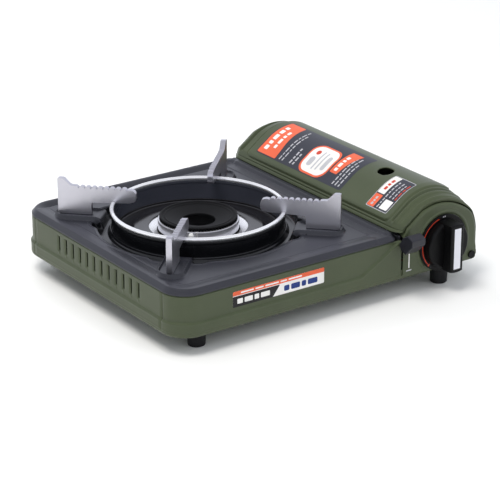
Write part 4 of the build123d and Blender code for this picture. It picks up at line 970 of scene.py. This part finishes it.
lid_block("large_ground", (100.7, 242, -20, 33, 3), 0.10, "dark")
lid_block("large_band", (210, 240.6, -18.6, 31.6, 1.6), 0.16, "orange", slant=7.0)
lid_block("large_badge_edge", (134, 176, -19, 20, 12), 0.16, "orange")
lid_block("large_badge", (136.2, 173.8, -16.8, 17.8, 10.5), 0.20, "white", "white_plastic")
lid_block("large_tab", (121, 132, -6, 27, 1.0), 0.24, "orange", slant=-6.0)
lid_film("large_badge_marks", join(
    bars(141, 146.5, [(-9, 9)], 0.24, 2.6), bars(150, 152, [(-11, 12)], 0.24, 0.9),
    bars(155.5, 157.5, [(-12, 12)], 0.24, 0.9), bars(161, 168, [(-10, 2)], 0.24, 3.4)), "grey")
lid_block("large_badge_spot", (161.5, 167.5, 5, 11, 2.9), 0.24, "red")
lid_film("large_marks", join(
    bars(220.5, 224.5, bar_row(-8, 24, (4.5, 6.5, 3.5), 1.8), 0.22, 0.8),
    bars(230, 235.5, bar_row(-13, 27, (5.5, 4.0, 7.0), 2.2), 0.22, 0.9),
    bars(124.2, 128.6, bar_row(-3, 21, (4.0, 5.5, 3.0), 1.6), 0.28, 0.8)),
    "white", "white_plastic")
lid_film("large_text", bar_rows((
    (203.6, 205.2, -17, 29, (5, 3, 6, 4), 1.3), (198.8, 200.4, -17, 22, (4, 6, 3), 1.3),
    (186.6, 188.8, -16, 6, (4.6, 3.2), 1.5), (181.6, 183.8, -16, 2, (3.2, 5.0), 1.5),
    (115.4, 117.0, -17, 28, (4, 5, 3, 6), 1.3), (110.6, 112.2, -17, 24, (6, 3, 4), 1.3),
    (105.8, 107.4, -17, 17, (3, 5, 4), 1.3))), "grey")

lid_block("small_edge", (27, 58.5, -21.5, 22, 2), 0.10, "grey", "white_plastic")
lid_block("small_ground", (27.7, 57.8, -20.8, 21.3, 1.5), 0.14, "dark")
lid_block("small_block", (47.5, 57.4, -4, 20.8, 0.8), 0.18, "white", "white_plastic")
lid_block("small_band", (47.5, 57.4, -20.4, -5.4, 0.8), 0.18, "orange")
lid_block("small_patch", (29.5, 40.5, -19, -7.5, 0.6), 0.18, "white", "white_plastic")
lid_film("small_marks", join(
    bars(51.0, 53.6, bar_row(-18.5, -7, (3.0, 2.2), 1.0), 0.22, 0.5),
    bar_rows(((42.6, 44.2, -19, 19, (4, 2.6, 3.4), 1.1), (37.6, 39.0, -5, 19, (3, 4, 2.4), 1.1),
              (33.0, 34.4, -5, 17, (2.6, 3.6), 1.1)))), "grey")
lid_film("small_red", join(
    bars(50.2, 53.8, bar_row(1, 18, (4.2, 3.0), 1.4), 0.22, 0.8),
    bar_rows(((29.4, 30.8, -5, 19, (4, 5), 1.1),))), "red")


def box_line(x0, x1, z0, z1, r=0.8, lean=0.0):
    """Outline of a rounded rectangle whose upper right corner is moved by lean."""
    out = []
    for centre, start in (((x1 - r + lean, z1 - r), 0), ((x0 + r, z1 - r), 90),
                          ((x0 + r, z0 + r), 180), ((x1 - r, z0 + r), 270)):
        out += [polar(r, start + 22.5 * k, centre) for k in range(5)]
    return out


def front_film(name, box, lift, colour, slot="black_plastic"):
    """Label layer on the front wall, above its ridge; box holds what box_line takes."""
    y = FRONT_FILM_Y - lift
    v, f = prism(box_line(*box), y, y + FILM_T)
    piece("label_" + name, v, f, slot, look=LABELS[colour], sharp=60)


front_film("front_ground", (61.2, 163.6, 19.2, 34.4, 1.2), 0.0, "white", "white_plastic")
front_film("front_block", (61.2, 106, 19.2, 29.6, 0.8, 7.0), 0.06, "black")
front_film("front_strip", (61.2, 163.6, 30.2, 34.4, 0.8), 0.06, "orange")
for k, span in enumerate(((66, 72), (74, 83), (85, 90), (92, 102))):
    front_film(f"front_light_{k}", (*span, 22, 26.8, 0.7), 0.12, "white", "white_plastic")
for k, span in enumerate(((118, 124), (126, 136), (138, 143), (145, 156))):
    front_film(f"front_dark_{k}", (*span, 21.8, 27.2, 1.2), 0.06, "blue")
for k, span in enumerate(((70, 84), (86, 95), (97, 112), (114, 121), (123, 138))):
    front_film(f"front_small_{k}", (*span, 31.6, 33.0, 0.4), 0.12, "white", "white_plastic")


# ---- end panels --------------------------------------------------------------
END_LEFT_X = 256.2
END_INSET = 4.1
LID_PITCH = 1.376
DIAL_LIP_H = 1.1
ROLL_R, ROLL_DEEP = 3.5, 3.0
# Radii of the mesh's rings about the dial, then their distances from the panel's edge.
DIAL_RINGS = [8, 14, 20, 24, 27, 28, 28.8, 29.2, 29.6, 30.0, 30.5, 31.2, 31.8, 32.2, 32.6, 33.2]
EDGE_RINGS = [6.0, 4.2, 3.6, 3.2, 2.8, 2.4, 2.0, 1.6, 1.2, 0.9, 0.6, 0.4, 0.2, 0.1, 0.0]


def end_outline():
    """Outline of an end panel in (x, z), from its lower left corner round the arch."""
    arch = [p for p in end_arch(END_INSET) if p[0] >= END_LEFT_X + 0.5]
    start_z = arch[0][1] - (arch[0][0] - END_LEFT_X) * LID_PITCH
    line = [(END_LEFT_X, WALL_Z[0]), (END_LEFT_X, start_z)] + arch
    line += [(347.3, 9.4), (347.3, 6.5), (346.4, WALL_Z[0])]
    dense = []
    for a, b in zip(line, line[1:] + line[:1]):
        steps = max(1, int(math.dist(a, b) / 1.6))
        dense += [between(a, b, k / steps) for k in range(steps)]
    return dense


def end_panel(front):
    """Face with a lip round the dial, an edge that rolls over the arch, and its flange."""
    nominal = [3.4 if front else 0.0] + DIAL_RINGS
    count = len(nominal) + len(EDGE_RINGS)
    columns = []
    for px, pz in end_outline():
        dx, dz = px - DIAL[0], pz - DIAL[1]
        full = math.hypot(dx, dz)
        rolled = smooth((pz - 12) / 12) * smooth((px - 256.9) / 5)
        flanged = smooth((pz - 42) / 0.5) * smooth((px - 256.3) / 0.4)
        column = []
        for k, r in enumerate(nominal + [full - e for e in EDGE_RINGS]):
            # each ring stays inside the next one
            most = full - 0.03 * (count - 1 - k)
            r = min(r, most)
            if k >= len(nominal):
                r = max(r, min(nominal[-1], most))
            edge = full - r
            y = 0.0
            if front and full > 35:
                y -= DIAL_LIP_H * band(r, 30.2, 31.6, 1.1)
            if edge < ROLL_R:
                y += ROLL_DEEP * rolled * (1 - math.sqrt(1 - ((ROLL_R - edge) / ROLL_R) ** 2))
            column.append((DIAL[0] + dx * r / full, y, DIAL[1] + dz * r / full))
        x, y, z = column[-1]
        column.append((x, max(1.0, y + 0.4), z))
        column.append((x, 1.0 + 8.0 * flanged + 3.2 * rolled * (1 - flanged), z))
        columns.append(column)
    rows = list(zip(*columns))
    if not front:
        rows = [[(x, CASING_D - y, z) for x, y, z in row] for row in rows]
    return grid(rows, wrap=True)


for name, node, at_front in (("control_panel_sheet", "control_panel", True),
                             ("rear_end_panel_sheet", "rear_end_panel", False)):
    v, f = end_panel(at_front)
    piece(name, v, f, "green_enamel", replaces=[node], sharp=55)


def front_mark(name, outline, y, colour, slot):
    """Thin printed mark in front of a face."""
    v, f = prism(outline, y, y + MARK_T)
    piece(name, v, f, slot, look=LABELS[colour], sharp=60)


def arc_band(r0, r1, start, end):
    """Outline of a ring's part about the dial, in degrees anticlockwise from the right."""
    turns = [start + (end - start) * k / 40 for k in range(41)]
    return [polar(r1, a, DIAL) for a in turns] + [polar(r0, a, DIAL) for a in reversed(turns)]


front_mark("lever_line", box_line(262.8, 264.0, 10.3, 26.8, 0.4), LEVER_MARK_Y,
           "white", "white_plastic")
front_mark("lever_tick", box_line(260.0, 266.6, 7.4, 8.6, 0.4), LEVER_MARK_Y,
           "grey", "white_plastic")
for name, part, colour, slot in (
        ("arc", (25.9, 26.8, 105, 222), "red", "black_plastic"),
        ("arc_end", (25.0, 27.4, 224, 228), "red", "black_plastic"),
        ("mark_top", (26.2, 27.4, 88, 91), "grey", "white_plastic"),
        ("mark_top_2", (26.2, 27.4, 92.5, 95), "grey", "white_plastic"),
        ("mark_low", (26.4, 27.3, 232, 236), "edge", "black_plastic")):
    front_mark("dial_" + name, arc_band(*part), DIAL_MARK_Y, colour, slot)


# ---- lock lever --------------------------------------------------------------
# The handle's outline is in (y, z).
LEVER_X = (250.0, 266.0)
LEVER_LINE = [(-0.6, 37.6), (-6.2, 46.1), (-13, 50), (-20.5, 46.8), (-20.5, 40.5), (-10, 30),
              (-3.6, 32.5)]
STEM_X = (254.3, 255.9)


def stem(y0, y1, z0, z1):
    """Block of the lever's flat stem."""
    x0, x1 = STEM_X
    return prism([(x0, z0), (x1, z0), (x1, z1), (x0, z1)], y0, y1)


handle = slab(*([(x, y, z) for y, z in LEVER_LINE] for x in LEVER_X))
v, f = join(handle, stem(-13, 4, 32.5, 39.5), stem(4, 14, 25.5, 43.5))
bevel(piece("lever_shell", v, f, "grey_plastic", body="lever", replaces=["lock_lever"], sharp=40),
      1.3, 25)


# ---- slits in the plate, as black strips of painted shade --------------------
SLITS = ((174.4, 57.0, 182.3, 53.5), (167.4, 52.3, 175.3, 47.2))
SLIT_HALF = 0.55

for index, (x0, y0, x1, y1) in enumerate(SLITS):
    across = Vector((y0 - y1, x1 - x0)).normalized() * SLIT_HALF
    corners = [(x0 + across.x, y0 + across.y), (x0 - across.x, y0 - across.y),
               (x1 - across.x, y1 - across.y), (x1 + across.x, y1 + across.y)]
    # Black strip laid on the plate for each slit: painted shade in place of an opening.
    v, f = slab(*([(x, y, plate_height(x, y) + lift) for x, y in corners]
                  for lift in (0.04, -0.3)))
    piece(f"plate_slit_shade_{index}", v, f, "burner_black")


# ---- camera, light, floor ----------------------------------------------------
def aim(obj, target):
    """Turn a camera or lamp to a point."""
    obj.rotation_euler = (target - obj.location).to_track_quat("-Z", "Y").to_euler()


def set_camera():
    """Camera of the main view, from the front left."""
    camera = bpy.data.cameras.new("camera")
    camera.lens = 155.7
    camera.sensor_width = 36
    camera.clip_start = 0.05
    rig = added("camera", camera)
    rig.location = (-1.1283, -1.5902, 0.8154)
    aim(rig, Vector((-0.00725, -0.0038, 0.0282)))
    bpy.context.scene.camera = rig


def set_world():
    """Even light, a plain white ground, and a dome that only glossy faces show."""
    world = bpy.data.worlds.new("studio")
    bpy.context.scene.world = world
    world.use_nodes = True
    tree = world.node_tree
    tree.nodes.clear()
    add, link = tree.nodes.new, tree.links.new
    out = add("ShaderNodeOutputWorld")
    lit = add("ShaderNodeBackground")
    lit.inputs["Color"].default_value = (0.93, 0.96, 1.0, 1)
    lit.inputs["Strength"].default_value = 0.62
    plain = add("ShaderNodeBackground")
    plain.inputs["Color"].default_value = (1, 1, 1, 1)
    dome = add("ShaderNodeBackground")
    place = add("ShaderNodeTexCoord")
    split = add("ShaderNodeSeparateXYZ")
    sky = add("ShaderNodeValToRGB")
    set_ramp(sky, (0.45, (0.92, 0.95, 1.06)), (0.82, (0.62, 0.63, 0.68)))
    link(place.outputs["Generated"], split.inputs[0])
    link(split.outputs["Z"], sky.inputs["Fac"])
    link(sky.outputs["Color"], dome.inputs["Color"])
    path = add("ShaderNodeLightPath")
    direct = add("ShaderNodeMath")
    direct.operation = "MAXIMUM"
    link(path.outputs["Is Camera Ray"], direct.inputs[0])
    link(path.outputs["Is Transmission Ray"], direct.inputs[1])
    mirrored = add("ShaderNodeMixShader")
    link(path.outputs["Is Glossy Ray"], mirrored.inputs[0])
    link(lit.outputs[0], mirrored.inputs[1])
    link(dome.outputs[0], mirrored.inputs[2])
    mix = add("ShaderNodeMixShader")
    link(direct.outputs[0], mix.inputs[0])
    link(mirrored.outputs[0], mix.inputs[1])
    link(plain.outputs[0], mix.inputs[2])
    link(mix.outputs[0], out.inputs[0])


def set_lamps():
    """Three soft lamps, left out of the reflections."""
    for name, place, size, power, colour in (
            ("key", (-0.7, -0.2, 1.8), 0.9, 21, (1.0, 0.97, 0.92)),
            ("fill", (0.6, -1.6, 1.2), 1.2, 7, (0.95, 0.97, 1.0)),
            ("back", (0.2, 1.6, 1.4), 1.0, 12, (0.96, 0.98, 1.0))):
        lamp = bpy.data.lights.new(name, "AREA")
        lamp.energy = power
        lamp.size = size
        lamp.color = colour
        holder = added(name, lamp)
        holder.location = place
        holder.visible_glossy = False
        aim(holder, Vector())


def set_floor():
    """Pale paper that the stove stands on."""
    far = 12
    data = bpy.data.meshes.new("floor")
    data.from_pydata([(-far, -far, 0), (far, -far, 0), (far, far, 0), (-far, far, 0)], [],
                     [(0, 1, 2, 3)])
    floor = added("floor", data)
    paper = bpy.data.materials.new("paper")
    paper.use_nodes = True
    shader = paper.node_tree.nodes["Principled BSDF"]
    shader.inputs["Base Color"].default_value = (0.93, 0.93, 0.93, 1)
    shader.inputs["Roughness"].default_value = 0.9
    shader.inputs["Specular IOR Level"].default_value = 0.1
    data.materials.append(paper)


set_camera()
set_world()
set_lamps()
set_floor()
bpy.context.scene.view_settings.view_transform = "Standard"

# ---- materials of the CAD nodes, which show where no finer mesh replaces them --------
slots = {s["node"]: s["material_slot"] for s in frame["record"]["subparts"]}
for name, node in nodes.items():
    if not node.material_slots:
        node.data.materials.append(M[slots[name]])
    for held in node.material_slots:
        held.material = M[slots[name]]
